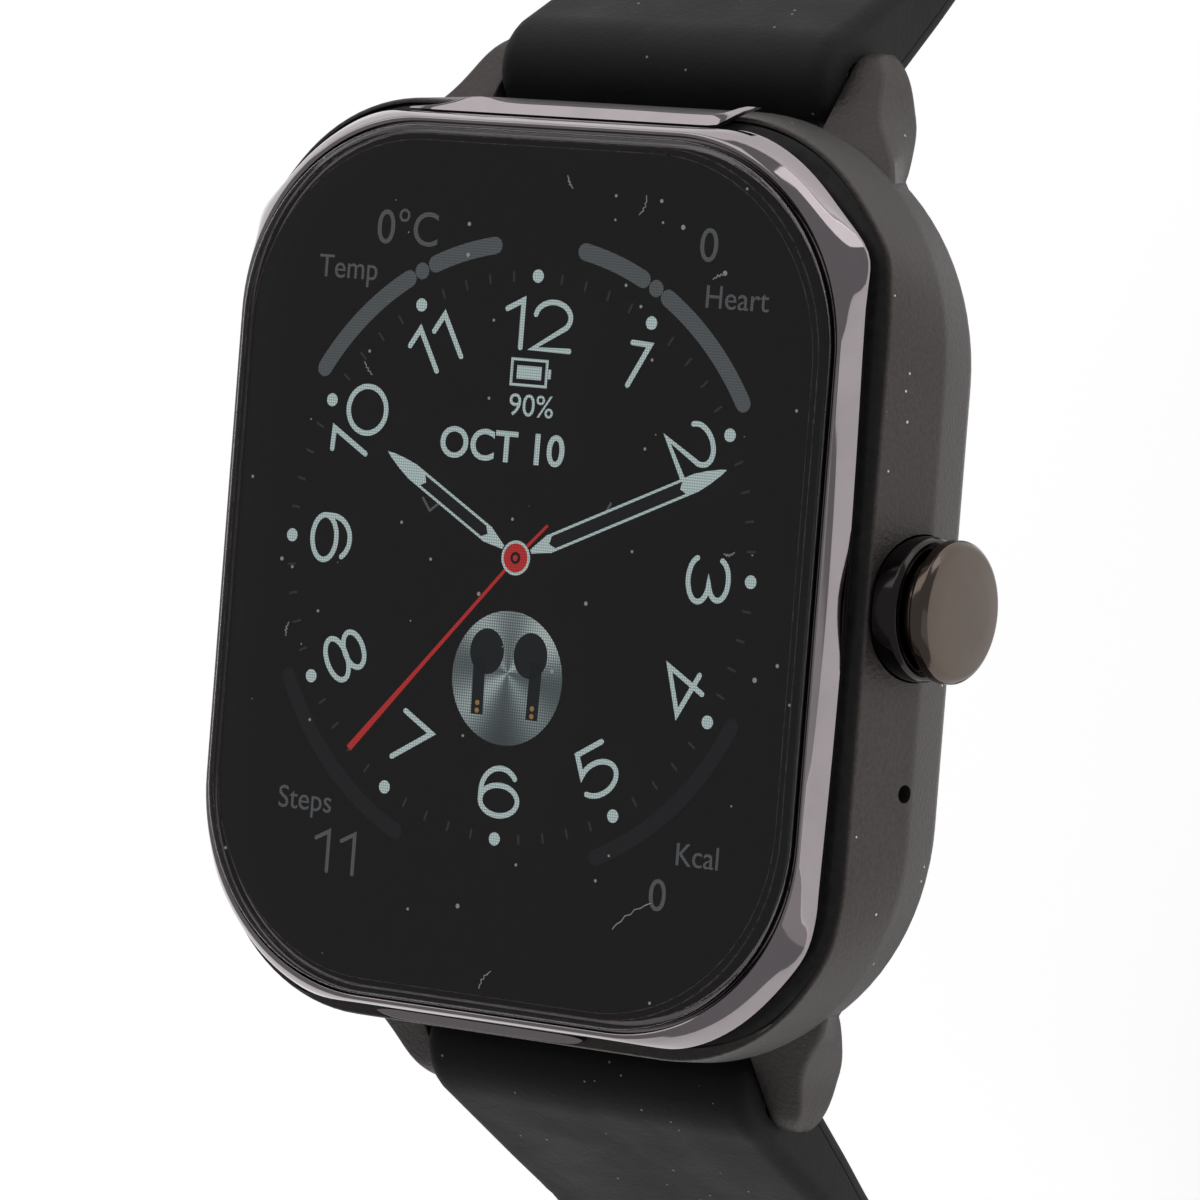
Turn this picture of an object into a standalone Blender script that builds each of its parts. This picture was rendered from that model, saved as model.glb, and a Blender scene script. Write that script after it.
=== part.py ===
"""Smartwatch: rectangular matte case with a mirror bezel, press-and-turn crown, quick-release
silicone strap in two hinged halves, keepers and a pin buckle, with the inside stack.

Frame: the watch lies face up. +X is the 3 o'clock (crown) side, +Y is 12 o'clock, +Z is out of
the display. The origin is the centre of the flat wrist face of the sensor window.
All lengths below are in millimetres and are turned into metres by MM when a mesh is made.
"""

import math

import bmesh
import bpy
import numpy as np
from mathutils import Vector

for old in list(bpy.data.objects):
    bpy.data.objects.remove(old, do_unlink=True)

MM = 0.001

# ---- case stack, heights above the wrist face of the sensor window
Z_TOP = 12.0          # flat top of the cover glass
Z_GLASS_EDGE = 11.8   # where the glass rounds over
Z_GLASS_BASE = 11.3   # underside of the glass, plane of the picture
Z_LIP = 11.55         # bright outer edge of the bezel lip
Z_BEZEL = 10.0        # lower outer edge of the bezel
Z_RIM = 9.1           # top edge of the matte case
Z_RIDGE = 4.9         # widest line of the case
Z_BACK_RIDGE = 1.7
Z_BACK = 0.8

HX, HY, R_CASE = 19.95, 23.5, 12.0   # half width, half length, corner radius at the ridge
GLASS_HX, GLASS_HY, GLASS_R = 17.7, 21.7, 10.2

# ---- strap
STRAP_W, TAIL_W = 20.0, 18.0
STRAP_T, ROOT_R, ROOT_H = 2.4, 2.9, 2.35   # thickness, root end radius, half thickness at the bar
BAR_Y, BAR_Z = 25.4, -0.6            # spring bar axis
LUG_IN = 10.2                        # inner face of a lug
ROUTE_ANGLE = 54.0                   # first direction of the strap below the horizontal
ROUTE_STRAIGHT, ROUTE_R = 11.4, 55.0
S_VERTICAL = ROUTE_STRAIGHT + ROUTE_R * math.radians(90.0 - ROUTE_ANGLE)
S_BUCKLE = 77.0                      # length from bar to buckle bar, 12 o'clock half
S_CURL, CURL_R, S_FLAT = 73.0, 15.0, 10.0
S_END = S_CURL + CURL_R * math.pi / 2 + S_FLAT
HOLE_R, HOLE_STEP, HOLES = 1.1, 6.2, 8

# ---- crown
CROWN_Z = 5.4
CROWN_R, CROWN_FACE_X, PRESS = 3.5, 22.5, 0.6

# ---- buckle
BUCKLE_HALF, BUCKLE_LEN = 10.8, 11.0

LOOKS = {
    "glass": ((0.004, 0.004, 0.005), 0.04, 0.0),
    "mirror": ((0.10, 0.09, 0.10), 0.07, 1.0),
    "blast": ((0.060, 0.055, 0.050), 0.45, 0.6),
    "black": ((0.008, 0.008, 0.008), 0.5, 0.0),
    "silicone": ((0.013, 0.012, 0.013), 0.48, 0.0),
    "steel": ((0.45, 0.45, 0.46), 0.22, 1.0),
    "pcb": ((0.01, 0.06, 0.03), 0.35, 0.0),
    "gold": ((0.80, 0.55, 0.20), 0.2, 1.0),
    "foil": ((0.55, 0.55, 0.57), 0.3, 0.8),
    "flex": ((0.35, 0.16, 0.03), 0.4, 0.0),
    "led": ((0.10, 0.55, 0.18), 0.2, 0.0),
    "rubber": ((0.010, 0.010, 0.010), 0.7, 0.0),
}
materials = {}
for look, (rgb, rough, metal) in LOOKS.items():
    mat = bpy.data.materials.new(look)
    mat.use_nodes = True
    shader = mat.node_tree.nodes["Principled BSDF"]
    shader.inputs["Base Color"].default_value = (*rgb, 1.0)
    shader.inputs["Roughness"].default_value = rough
    shader.inputs["Metallic"].default_value = metal
    materials[look] = mat


# ---------------------------------------------------------------- mesh helpers
def make(name, bm, look, angle=32.0, origin=(0.0, 0.0, 0.0)):
    """Object from a bmesh in millimetres, its origin moved to the given point."""
    bmesh.ops.remove_doubles(bm, verts=bm.verts, dist=1e-5)
    bmesh.ops.recalc_face_normals(bm, faces=bm.faces)
    base = Vector(origin)
    for v in bm.verts:
        v.co = (v.co - base) * MM
    mesh = bpy.data.meshes.new(name)
    bm.to_mesh(mesh)
    bm.free()
    obj = bpy.data.objects.new(name, mesh)
    obj.location = base * MM
    bpy.context.scene.collection.objects.link(obj)
    mesh.materials.append(materials[look])
    mesh.shade_smooth()
    mesh.set_sharp_from_angle(angle=math.radians(angle))
    return obj


def helper(obj):
    obj.hide_render = True
    obj.display_type = "WIRE"
    return obj


def boolean(obj, other, kind="DIFFERENCE"):
    mod = obj.modifiers.new(kind.title() + "_" + other.name, "BOOLEAN")
    mod.operation = kind
    mod.solver = "EXACT"
    mod.object = other
    return obj


def loft_bm(rings, closed=False, bm=None):
    """Skin between rings of equal point count. Closed joins the last ring to the first."""
    bm = bm or bmesh.new()
    rows = [[bm.verts.new(p) for p in ring] for ring in rings]
    n = len(rows[0])
    last = len(rows) if closed else len(rows) - 1
    for i in range(last):
        a, b = rows[i], rows[(i + 1) % len(rows)]
        for j in range(n):
            bm.faces.new((a[j], a[(j + 1) % n], b[(j + 1) % n], b[j]))
    if not closed:
        bm.faces.new(rows[0][::-1])
        bm.faces.new(rows[-1])
    return bm


def outline(hx, hy, r, z, n=7, p=2.0, bow=0.0, vertex=(0.0, 0.0), k=3, at=(0.0, 0.0)):
    """Rounded rectangle, counterclockwise. p is the corner's exponent, bow pushes the middle of
    the long sides out, vertex = (top, bottom) bulges beside the corners of the long sides."""
    arcs = []
    for q, (sx, sy) in enumerate(((1, 1), (-1, 1), (-1, -1), (1, -1))):
        arc = []
        for i in range(n + 1):
            a = math.radians(90.0 * (q + i / n))
            c, s = math.cos(a), math.sin(a)
            ex = math.copysign(abs(c) ** (2.0 / p), c) if abs(c) > 1e-9 else 0.0
            ey = math.copysign(abs(s) ** (2.0 / p), s) if abs(s) > 1e-9 else 0.0
            x, y = sx * (hx - r) + r * ex, sy * (hy - r) + r * ey
            arc.append((x, y))
        arcs.append(arc)
    pts = []
    for q in range(4):
        arc, following = arcs[q], arcs[(q + 1) % 4]
        pts += arc
        (x0, y0), (x1, y1) = arc[-1], following[0]
        for j in range(1, k + 1):
            t = j / (k + 1)
            pts.append((x0 + (x1 - x0) * t, y0 + (y1 - y0) * t))
    out = []
    for x, y in pts:
        side = math.copysign(1.0, x)
        reach = max(0.0, 1.0 - (y / (hy - r)) ** 2) if abs(x) > hx - 0.05 else 0.0
        x += side * bow * reach
        size = vertex[0] if y > 0 else vertex[1]
        if size and abs(x) > hx - r:
            x += side * size * math.exp(-(((abs(y) - 16.9) / 1.5) ** 2))
        out.append((x + at[0], y + at[1], z))
    return out


def circle(radius, z, count, at=(0.0, 0.0), phase=0.0):
    return [
        (
            at[0] + radius * math.cos(phase + 2 * math.pi * i / count),
            at[1] + radius * math.sin(phase + 2 * math.pi * i / count),
            z,
        )
        for i in range(count)
    ]


def along_x(points):
    """Turn a ring made round Z into one round X: (x, y, z) becomes (z, x, y)."""
    return [(z, x, y) for x, y, z in points]


def turned(profile, count, axis="z", at=(0.0, 0.0), closed=False):
    """Solid of revolution. profile is (radius, distance along the axis) pairs. With closed the
    profile is a loop, which leaves a through hole."""
    rings = [circle(r, h, count, (0, 0)) for r, h in profile]
    if axis == "x":
        rings = [[(x, y + at[0], z + at[1]) for x, y, z in along_x(ring)] for ring in rings]
    else:
        rings = [[(x + at[0], y + at[1], z) for x, y, z in ring] for ring in rings]
    return loft_bm(rings, closed)


def box(x0, x1, y0, y1, z0, z1, r=0.0, n=2):
    """Block with rounded upright edges."""
    cx, cy = (x0 + x1) / 2, (y0 + y1) / 2
    if r:
        rings = [
            outline((x1 - x0) / 2, (y1 - y0) / 2, r, z, n=n, k=0, at=(cx, cy)) for z in (z0, z1)
        ]
    else:
        rings = [[(x0, y0, z), (x1, y0, z), (x1, y1, z), (x0, y1, z)] for z in (z0, z1)]
    return loft_bm(rings)


def band(outer, inner, z0, z1, **kw):
    """Flat ring between two rounded rectangles given as (hx, hy, r)."""
    return loft_bm(
        [
            outline(*outer, z0, **kw),
            outline(*outer, z1, **kw),
            outline(*inner, z1, **kw),
            outline(*inner, z0, **kw),
        ],
        closed=True,
    )


# ---------------------------------------------------------------- matte case with its lugs
N = 8
mid_case = make(
    "mid_case",
    loft_bm(
        [
            outline(18.9, 22.4, 11.6, Z_BACK, n=N),
            outline(19.4, 23.0, 12.0, Z_BACK_RIDGE, n=N),
            outline(HX, HY, R_CASE, Z_RIDGE, n=N),
            outline(19.25, 23.1, 9.9, Z_RIM - 0.12, n=N, vertex=(0.3, 0.1)),
            outline(19.16, 23.0, 9.8, Z_RIM, n=N, vertex=(0.3, 0.1)),
        ]
    ),
    "blast",
    24,
)


def lug_section(y):
    """Half section of a lug at a distance y from the middle: a flat front, an upright outer face
    that starts at a crisp ridge, and a tip rounded in plan and from the side."""
    spots = (19.6, 20.4, 21.0, 21.6, 22.3, 23.1, 24.0, 25.0, 26.2, 27.0)
    ridge = float(np.interp(y, spots, (16.0, 15.75, 15.4, 15.0, 14.35, 13.6, 12.95, 12.5, 12.1, 11.9)))
    foot = float(np.interp(y, spots, (15.2, 14.75, 14.35, 13.9, 13.45, 13.1, 12.85, 12.6, 12.2, 12.0)))
    front = 2.2 - 0.74 * (y - 23.5)
    back = 0.9 - 3.2 * math.sin(min(1.0, max(0.0, (y - 20.6) / 3.2)) * math.pi / 2)
    t = min(1.0, max(0.0, (y - 25.9) / 1.06))
    keep = math.sqrt(1.0 - t**2.6)
    mid, half = (front + back) / 2, (front - back) / 2 * keep
    front, back = mid + half, mid - half
    wide = max(0.0, 1.0 - min(1.0, max(0.0, (y - 25.3) / 1.75)) ** 2.2) ** 0.6
    ridge = 10.8 + (ridge - 10.8) * wide
    foot = 10.8 + (foot - 10.8) * (0.35 + 0.65 * wide)
    lip = 0.32 * keep
    return (
        (LUG_IN, front),
        (ridge - 0.5, front - 0.02),
        (ridge - 0.1, front - 0.12 - 0.3 * lip),
        (ridge, front - 0.1 - lip),
        ((ridge + foot) / 2 - 0.05, (front + back) / 2 + 0.15),
        (foot, back + 0.75 * keep + 0.02),
        (foot - 0.65, back + 0.08),
        (LUG_IN, back),
    )


def lug_bm(sx, sy):
    stations = (19.6, 20.8, 21.6, 22.4, 23.2, 24.0, 25.2, 26.1, 26.6, 26.88)
    return loft_bm([[(sx * x, sy * y, z) for x, z in lug_section(y)] for y in stations])


for label, sx, sy in (("ne", 1, 1), ("nw", -1, 1), ("sw", -1, -1), ("se", 1, -1)):
    lug = helper(make("lug_" + label, lug_bm(sx, sy), "blast"))
    boolean(mid_case, lug, "UNION")

cavity = helper(
    make(
        "cut_cavity",
        loft_bm(
            [
                outline(16.95, 20.95, 9.75, Z_BACK - 1.0, n=N),
                outline(16.95, 20.95, 9.75, 2.1, n=N),
                outline(15.6, 19.6, 13.6, 2.1, n=N),
                outline(15.6, 19.6, 13.6, 3.2, n=N),
                outline(17.6, 21.6, 10.5, 3.2, n=N),
                outline(17.6, 21.6, 10.5, 8.4, n=N),
                outline(19.02, 22.86, 9.66, 8.4, n=N, vertex=(0.3, 0.1)),
                outline(19.02, 22.86, 9.66, Z_RIM + 1.0, n=N, vertex=(0.3, 0.1)),
            ]
        ),
        "blast",
    )
)
boolean(mid_case, cavity)

crown_cut = helper(
    make("cut_crown", turned([(1.5, 16.5), (1.5, 19.25), (3.62, 19.25), (3.62, 24.0)], 32, "x", (0.0, CROWN_Z)), "blast")
)
boolean(mid_case, crown_cut)

SCREWS = ((12.4, 16.4), (-12.4, 16.4), (-12.4, -16.4), (12.4, -16.4))
for i, spot in enumerate(SCREWS):
    boolean(mid_case, helper(make(f"cut_thread_{i}", turned([(0.56, 1.0), (0.56, 2.95)], 10, "z", spot), "blast")))
for i, (sx, sy) in enumerate(((1, 1), (-1, 1), (-1, -1), (1, -1))):
    x0, x1 = sorted((sx * (LUG_IN - 1.0), sx * (LUG_IN + 1.2)))
    boolean(
        mid_case,
        helper(make(f"cut_barhole_{i}", turned([(0.66, x0), (0.66, x1)], 12, "x", (sy * BAR_Y, BAR_Z)), "blast")),
    )

# sound slots in the 9 o'clock wall and the microphone hole in the 3 o'clock wall
for i, y in enumerate((-4.2, 0.0, 4.2)):
    slot = helper(make(f"cut_slot_{i}", box(-21.5, -17.0, y - 1.4, y + 1.4, 4.1, 4.9), "blast"))
    boolean(mid_case, slot)
boolean(mid_case, helper(make("cut_mic", turned([(0.45, 17.0), (0.45, 21.5)], 10, "x", (-9.0, CROWN_Z)), "blast")))

# ---------------------------------------------------------------- front: gasket, bezel, tabs, glass
make(
    "bezel_gasket",
    loft_bm(
        [
            outline(17.75, 21.75, 10.2, 8.46, n=N),
            outline(18.94, 22.78, 9.6, 8.46, n=N, vertex=(0.3, 0.1)),
            outline(18.94, 22.78, 9.6, 8.9, n=N, vertex=(0.3, 0.1)),
            outline(17.75, 21.75, 10.2, 9.02, n=N),
        ],
        closed=True,
    ),
    "rubber",
    50,
)
make(
    "bezel",
    loft_bm(
        [
            outline(16.7, 20.7, 9.4, 9.1, n=N),
            outline(17.9, 21.9, 9.2, 9.1, n=N),
            outline(18.25, 22.2, 8.4, 9.5, n=N, p=1.75, bow=0.2, vertex=(0.5, 0.2)),
            outline(18.38, 22.4, 8.0, Z_BEZEL, n=N, p=1.7, bow=0.22, vertex=(0.62, 0.22)),
            outline(18.33, 22.38, 8.4, 10.35, n=N, p=1.75, bow=0.2, vertex=(0.5, 0.18)),
            outline(18.2, 22.27, 9.4, 11.05, n=N, p=1.9, bow=0.12, vertex=(0.2, 0.05)),
            outline(18.05, 22.1, 10.3, 11.48, n=N),
            outline(17.96, 22.01, 10.25, Z_LIP, n=N),
            outline(17.82, 21.84, 10.2, Z_LIP - 0.05, n=N),
            outline(17.8, 21.8, 10.2, 11.2, n=N),
            outline(16.7, 20.7, 9.4, 11.2, n=N),
        ],
        closed=True,
    ),
    "mirror",
    28,
)


TAB_12 = (
    ((-9.9, 22.62), (-8.1, 22.84), (-6.9, 23.19), (-6.0, 23.33), (-5.2, 23.27), (-4.4, 23.11), (1.5, 23.1), (7.3, 23.08),
     (8.6, 23.14), (9.65, 23.43), (10.3, 23.56), (10.8, 23.55)),
    ((-9.9, 22.5), (-8.1, 22.5), (-6.9, 22.5), (-6.0, 22.5), (-5.2, 22.5), (-4.4, 22.5), (1.5, 22.5), (7.3, 22.5),
     (8.6, 22.5), (9.35, 22.85), (10.0, 23.2), (10.75, 23.45)),
)
TAB_6 = (
    ((-7.6, 22.72), (-7.2, 22.86), (-6.4, 22.92), (0.0, 22.92), (3.6, 22.92), (4.6, 22.86), (5.0, 22.72)),
    ((-7.6, 22.6), (-7.2, 22.52), (-6.4, 22.5), (0.0, 22.5), (3.6, 22.5), (4.6, 22.52), (5.0, 22.6)),
)


def tab_bm(rows, sy, drop):
    """Polished plate in the front edge, its top sloping down to the outer edge."""
    outer, inner = rows
    low = [(x, sy * y, 9.16) for x, y in inner] + [(x, sy * y, 9.16) for x, y in outer[::-1]]
    top = [(x, sy * y, 9.58) for x, y in inner] + [(x, sy * y, 9.58 - drop) for x, y in outer[::-1]]
    return loft_bm([low, top])


make("bezel_tab_12", tab_bm(TAB_12, 1, 0.3), "mirror", 28)
make("bezel_tab_6", tab_bm(TAB_6, -1, 0.2), "mirror", 28)

cover_glass = make(
    "cover_glass",
    loft_bm(
        [
            outline(17.68, 21.68, 10.15, Z_GLASS_BASE, n=N),
            outline(17.7, 21.7, GLASS_R, 11.68, n=N),
            outline(17.62, 21.62, GLASS_R, 11.85, n=N),
            outline(17.46, 21.46, GLASS_R, 11.95, n=N),
            outline(17.26, 21.26, GLASS_R, Z_TOP, n=N),
        ]
    ),
    "glass",
    20,
)
make("glass_adhesive", band((16.55, 20.55, 9.3), (14.9, 18.9, 7.6), 11.1, 11.24, n=4, k=1), "rubber", 30)
make("display_panel", box(-16.4, 16.4, -20.4, 20.4, 10.2, 11.04, 9.0, 6), "glass", 30)
make("backlight_unit", box(-15.9, 15.9, -19.9, 19.9, 9.35, 10.12, 8.6, 6), "foil", 30)

# flex tail: leaves the display, folds down and lands on the board
flex_path = [(17.0, 9.2), (19.6, 9.2), (20.6, 8.9), (20.9, 8.2), (20.6, 7.6), (19.6, 7.35), (16.9, 7.35)]
flex_rings = []
for i, (y, z) in enumerate(flex_path):
    y0, z0 = flex_path[max(0, i - 1)]
    y1, z1 = flex_path[min(len(flex_path) - 1, i + 1)]
    d = math.hypot(y1 - y0, z1 - z0)
    ny, nz = -(z1 - z0) / d * 0.07, (y1 - y0) / d * 0.07
    flex_rings.append([(-4.0, y + ny, z + nz), (4.0, y + ny, z + nz), (4.0, y - ny, z - nz), (-4.0, y - ny, z - nz)])
make("display_flex", loft_bm(flex_rings), "flex", 50)

# ---------------------------------------------------------------- inside
inner_frame = make("inner_frame", band((17.45, 21.45, 10.35), (15.6, 19.0, 8.6), 7.75, 8.3, n=4, k=1), "black", 30)
boolean(inner_frame, helper(make("cut_flexgap", box(-4.6, 4.6, 18.0, 21.08, 7.0, 9.0), "black")))
make("main_pcb", box(-15.2, 15.2, -19.0, 18.6, 6.85, 7.25, 6.0, 3), "pcb", 30)
make("shield_can", box(-12.0, -1.0, 3.0, 14.0, 7.3, 8.5, 0.6, 2), "foil", 30)
make("processor", box(2.5, 9.0, 4.5, 11.0, 7.3, 8.2), "black", 30)
make("battery", box(-13.0, 10.0, -17.0, 6.5, 3.3, 6.6, 1.6, 3), "foil", 30)
make("vibration_motor", turned([(3.9, 3.4), (4.0, 3.5), (4.0, 6.1), (3.9, 6.2)], 20, "z", (-7.0, 13.2)), "steel", 30)
make("speaker", box(-17.2, -13.6, -6.0, 6.0, 3.5, 6.3, 0.5, 2), "black", 30)
make("microphone", box(14.0, 16.9, -10.6, -7.4, 4.4, 6.4), "foil", 30)

# ---------------------------------------------------------------- back: cover, sensors, charging
RING = 4 * (N + 1 + 3)


def round_to(hx, hy, r, z, radius):
    """Circle whose points sit at the same bearings as the points of the rounded rectangle."""
    pts = outline(hx, hy, r, z, n=N)
    return [(radius * x / math.hypot(x, y), radius * y / math.hypot(x, y), z) for x, y, _ in pts]


BACK = (16.8, 20.8, 9.6)
back_cover = make(
    "back_cover",
    loft_bm(
        [
            round_to(*BACK, 0.3, 9.1),
            round_to(*BACK, 0.3, 10.6),
            round_to(*BACK, 0.45, 11.6),
            outline(15.9, 19.9, 9.6, 0.62, n=N),
            outline(16.6, 20.6, 9.6, 0.78, n=N),
            outline(*BACK, 1.0, n=N),
            outline(*BACK, 1.72, n=N),
            round_to(*BACK, 1.72, 9.1),
        ],
        closed=True,
    ),
    "black",
    24,
)
for i, spot in enumerate(SCREWS):
    boolean(
        back_cover,
        helper(make(f"cut_head_{i}", turned([(1.02, 0.0), (1.02, 1.22), (0.6, 1.22), (0.6, 2.2)], 14, "z", spot), "black")),
    )
    screw = make(
        f"back_screw_{i + 1}",
        turned([(0.86, 0.66), (0.94, 0.74), (0.94, 1.18), (0.5, 1.18), (0.5, 2.8), (0.3, 2.88)], 14, "z", spot),
        "steel",
    )
    boolean(screw, helper(make(f"cut_drive_{i}", box(spot[0] - 0.5, spot[0] + 0.5, spot[1] - 0.14, spot[1] + 0.14, 0.2, 0.92), "steel")))

make("back_gasket", band((16.75, 20.75, 9.55), (15.9, 19.9, 8.7), 1.78, 2.04, n=4, k=1), "rubber", 30)
make("sensor_window", turned([(8.5, 0.0), (8.75, 0.12), (8.85, 0.35), (8.85, 1.3)], 40), "glass", 30)
make("sensor_board", turned([(8.7, 1.78), (8.7, 2.2)], 28), "pcb", 30)
for name, x, y in (("sensor_led_a", -2.6, 2.2), ("sensor_led_b", -2.6, -2.2)):
    make(name, box(x - 0.8, x + 0.8, y - 0.8, y + 0.8, 1.4, 1.72), "led", 30)
make("photodiode", box(1.2, 3.8, -1.5, 1.5, 1.4, 1.72), "black", 30)
for label, x in (("a", -2.0), ("b", 2.0)):
    spot = (x, -14.2)
    boolean(back_cover, helper(make(f"cut_pin_{label}", turned([(1.12, 0.0), (1.12, 2.2)], 14, "z", spot), "black")))
    make(f"charge_pin_{label}", turned([(0.8, 0.38), (1.0, 0.46), (1.0, 1.95), (0.8, 2.05)], 14, "z", spot), "gold", 30)
for label, x in (("a", -6.4), ("b", 6.4)):
    make(f"charge_magnet_{label}", box(x - 1.6, x + 1.6, -15.6, -12.6, 1.8, 2.8), "steel", 30)

# ---------------------------------------------------------------- crown
AX = (0.0, CROWN_Z)
make(
    "crown_collar",
    turned(
        [(1.5, 19.32), (3.45, 19.32), (3.55, 19.42), (3.55, 20.45), (3.4, 20.7), (3.12, 20.7), (3.12, 19.72), (1.5, 19.72)],
        32, "x", AX, closed=True,
    ),
    "mirror", 30, (19.32, 0.0, CROWN_Z),
)
crown_cap = make(
    "crown_cap",
    turned(
        [(2.92, 20.4), (2.92, 21.36), (3.3, 21.36), (3.5, 21.5), (3.5, 22.05), (3.2, 22.38), (2.2, 22.47), (0.9, CROWN_FACE_X)],
        32, "x", AX,
    ),
    "mirror", 30, (CROWN_FACE_X, 0.0, CROWN_Z),
)
boolean(crown_cap, helper(make("cut_cap", turned([(0.82, 20.0), (0.82, 21.5)], 14, "x", AX), "mirror")))
make("crown_shaft", turned([(0.6, 14.2), (0.74, 14.3), (0.74, 21.4), (0.6, 21.45)], 14, "x", AX), "steel", 30, (14.2, 0.0, CROWN_Z))
make(
    "crown_oring",
    turned([(1.1 + 0.27 * math.cos(2 * math.pi * i / 8), 18.4 + 0.27 * math.sin(2 * math.pi * i / 8)) for i in range(8)], 20, "x", AX, closed=True),
    "rubber", 60,
)
clip_rings = []
for i in range(15):
    a = math.radians(30 + 300 * i / 14)
    clip_rings.append(
        [(x, r * math.cos(a), CROWN_Z + r * math.sin(a)) for x, r in ((16.9, 0.82), (17.3, 0.82), (17.3, 1.6), (16.9, 1.6))]
    )
make("crown_clip", loft_bm(clip_rings), "steel", 30, (17.1, 0.0, CROWN_Z))
make("crown_follower", turned([(1.2, 13.4), (1.3, 13.5), (1.3, 14.1), (0.8, 14.15)], 14, "x", AX), "black", 30, (13.4, 0.0, CROWN_Z))
make("crown_switch", box(10.6, 12.7, -2.0, 2.0, 3.6, 6.7, 0.3, 1), "steel", 30)


# ---------------------------------------------------------------- strap route
def route(s, curl):
    """Point on the strap's centre line (distance from the middle of the watch, height) and the
    direction's angle below the horizontal, at length s from the spring bar."""
    a0 = math.radians(ROUTE_ANGLE)
    d0 = (math.cos(a0), -math.sin(a0))
    if s <= ROUTE_STRAIGHT:
        return BAR_Y + d0[0] * s, BAR_Z + d0[1] * s, a0
    u1, z1 = BAR_Y + d0[0] * ROUTE_STRAIGHT, BAR_Z + d0[1] * ROUTE_STRAIGHT
    if s <= S_VERTICAL:
        a = a0 + (s - ROUTE_STRAIGHT) / ROUTE_R
        return u1 + ROUTE_R * (math.sin(a) - math.sin(a0)), z1 + ROUTE_R * (math.cos(a) - math.cos(a0)), a
    half = math.pi / 2
    u2 = u1 + ROUTE_R * (1 - math.sin(a0))
    z2 = z1 - ROUTE_R * math.cos(a0)
    if not curl or s <= S_CURL:
        return u2, z2 - (s - S_VERTICAL), half
    z3 = z2 - (S_CURL - S_VERTICAL)
    if s <= S_CURL + CURL_R * half:
        a = half + (s - S_CURL) / CURL_R
        return u2 + CURL_R * (math.sin(a) - 1.0), z3 + CURL_R * math.cos(a), a
    return u2 - CURL_R - (s - S_CURL - CURL_R * half), z3 - CURL_R, math.pi


def thickness(s):
    return STRAP_T + 2 * (ROOT_H - STRAP_T / 2) * min(1.0, max(0.0, 1.0 - s / 12.0))


def half_width(s):
    t = min(1.0, max(0.0, (s - 8.0) / 34.0))
    return (STRAP_W + (TAIL_W - STRAP_W) * t) / 2


def place(s, n, curl):
    """(u, z) of a point n off the centre line, outwards positive, at length s."""
    u, z, a = route(s, curl)
    return u + math.sin(a) * n, z + math.cos(a) * n


def station(s, half_t, half_w, curl, sy, back=0.0):
    """Cross section with a small chamfer at its four long edges."""
    c = min(0.45, half_t * 0.45)
    ring = []
    for x, n in (
        (-half_w, -half_t + c), (-half_w + c, -half_t), (half_w - c, -half_t), (half_w, -half_t + c),
        (half_w, half_t - c), (half_w - c, half_t), (-half_w + c, half_t), (-half_w, half_t - c),
    ):
        u, z, a = route(max(s, 0.0), curl)
        u, z = u + math.sin(a) * n, z + math.cos(a) * n
        if s < 0:
            u, z = u + math.cos(a) * s, z - math.sin(a) * s
        ring.append((x, sy * u, z))
    return ring


def strap_rings(curl, sy):
    rings = []
    for deg in (12, 30, 50, 70):
        a = math.radians(deg)
        rings.append(station(-ROOT_R * math.cos(a), ROOT_H * math.sin(a) ** 0.8, STRAP_W / 2 - 0.25 * math.cos(a), curl, sy))
    if curl:
        stops = [0, 1.5, 3, 4.5, 6, 7.5, 9, 10.5, 11.4] + list(np.linspace(17, S_VERTICAL, 6)) + [56.0, S_CURL]
        stops += list(np.linspace(S_CURL, S_CURL + CURL_R * math.pi / 2, 8))[1:] + [S_END - 6.0]
        rings += [station(s, thickness(s) / 2, half_width(s), curl, sy) for s in stops]
        for deg in (30, 55, 75, 88):
            a = math.radians(deg)
            rings.append(
                station(S_END - 6.0 + 6.0 * math.sin(a), STRAP_T / 2 - 0.2 * (1 - math.cos(a)), half_width(99) * (0.35 + 0.65 * math.cos(a) ** 0.6), curl, sy)
            )
    else:
        stops = [0, 1.5, 3, 4.5, 6, 7.5, 9, 10.5, 11.4] + list(np.linspace(17, S_VERTICAL, 6)) + [60.0, 72.0, S_BUCKLE - 2.0]
        rings += [station(s, thickness(s) / 2, half_width(s), curl, sy) for s in stops]
        for deg in (90, 65, 40, 15):
            a = math.radians(deg)
            rings.append(station(S_BUCKLE + 1.7 * math.cos(a), 1.7 * math.sin(a), half_width(99), curl, sy))
    return rings


def bar_cut(name, y, z, radius, x0, x1, count=14):
    return helper(make(name, turned([(radius, x0), (radius, x1)], count, "x", (y, z)), "silicone"))


def route_box(name, s0, s1, n0, n1, x0, x1, curl, sy):
    """Block laid along the strap between two lengths."""
    rings = []
    for s in (s0, s1):
        ring = []
        for x, n in ((x0, n0), (x1, n0), (x1, n1), (x0, n1)):
            u, z = place(s, n, curl)
            ring.append((x, sy * u, z))
        rings.append(ring)
    return helper(make(name, loft_bm(rings), "silicone"))


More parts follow.
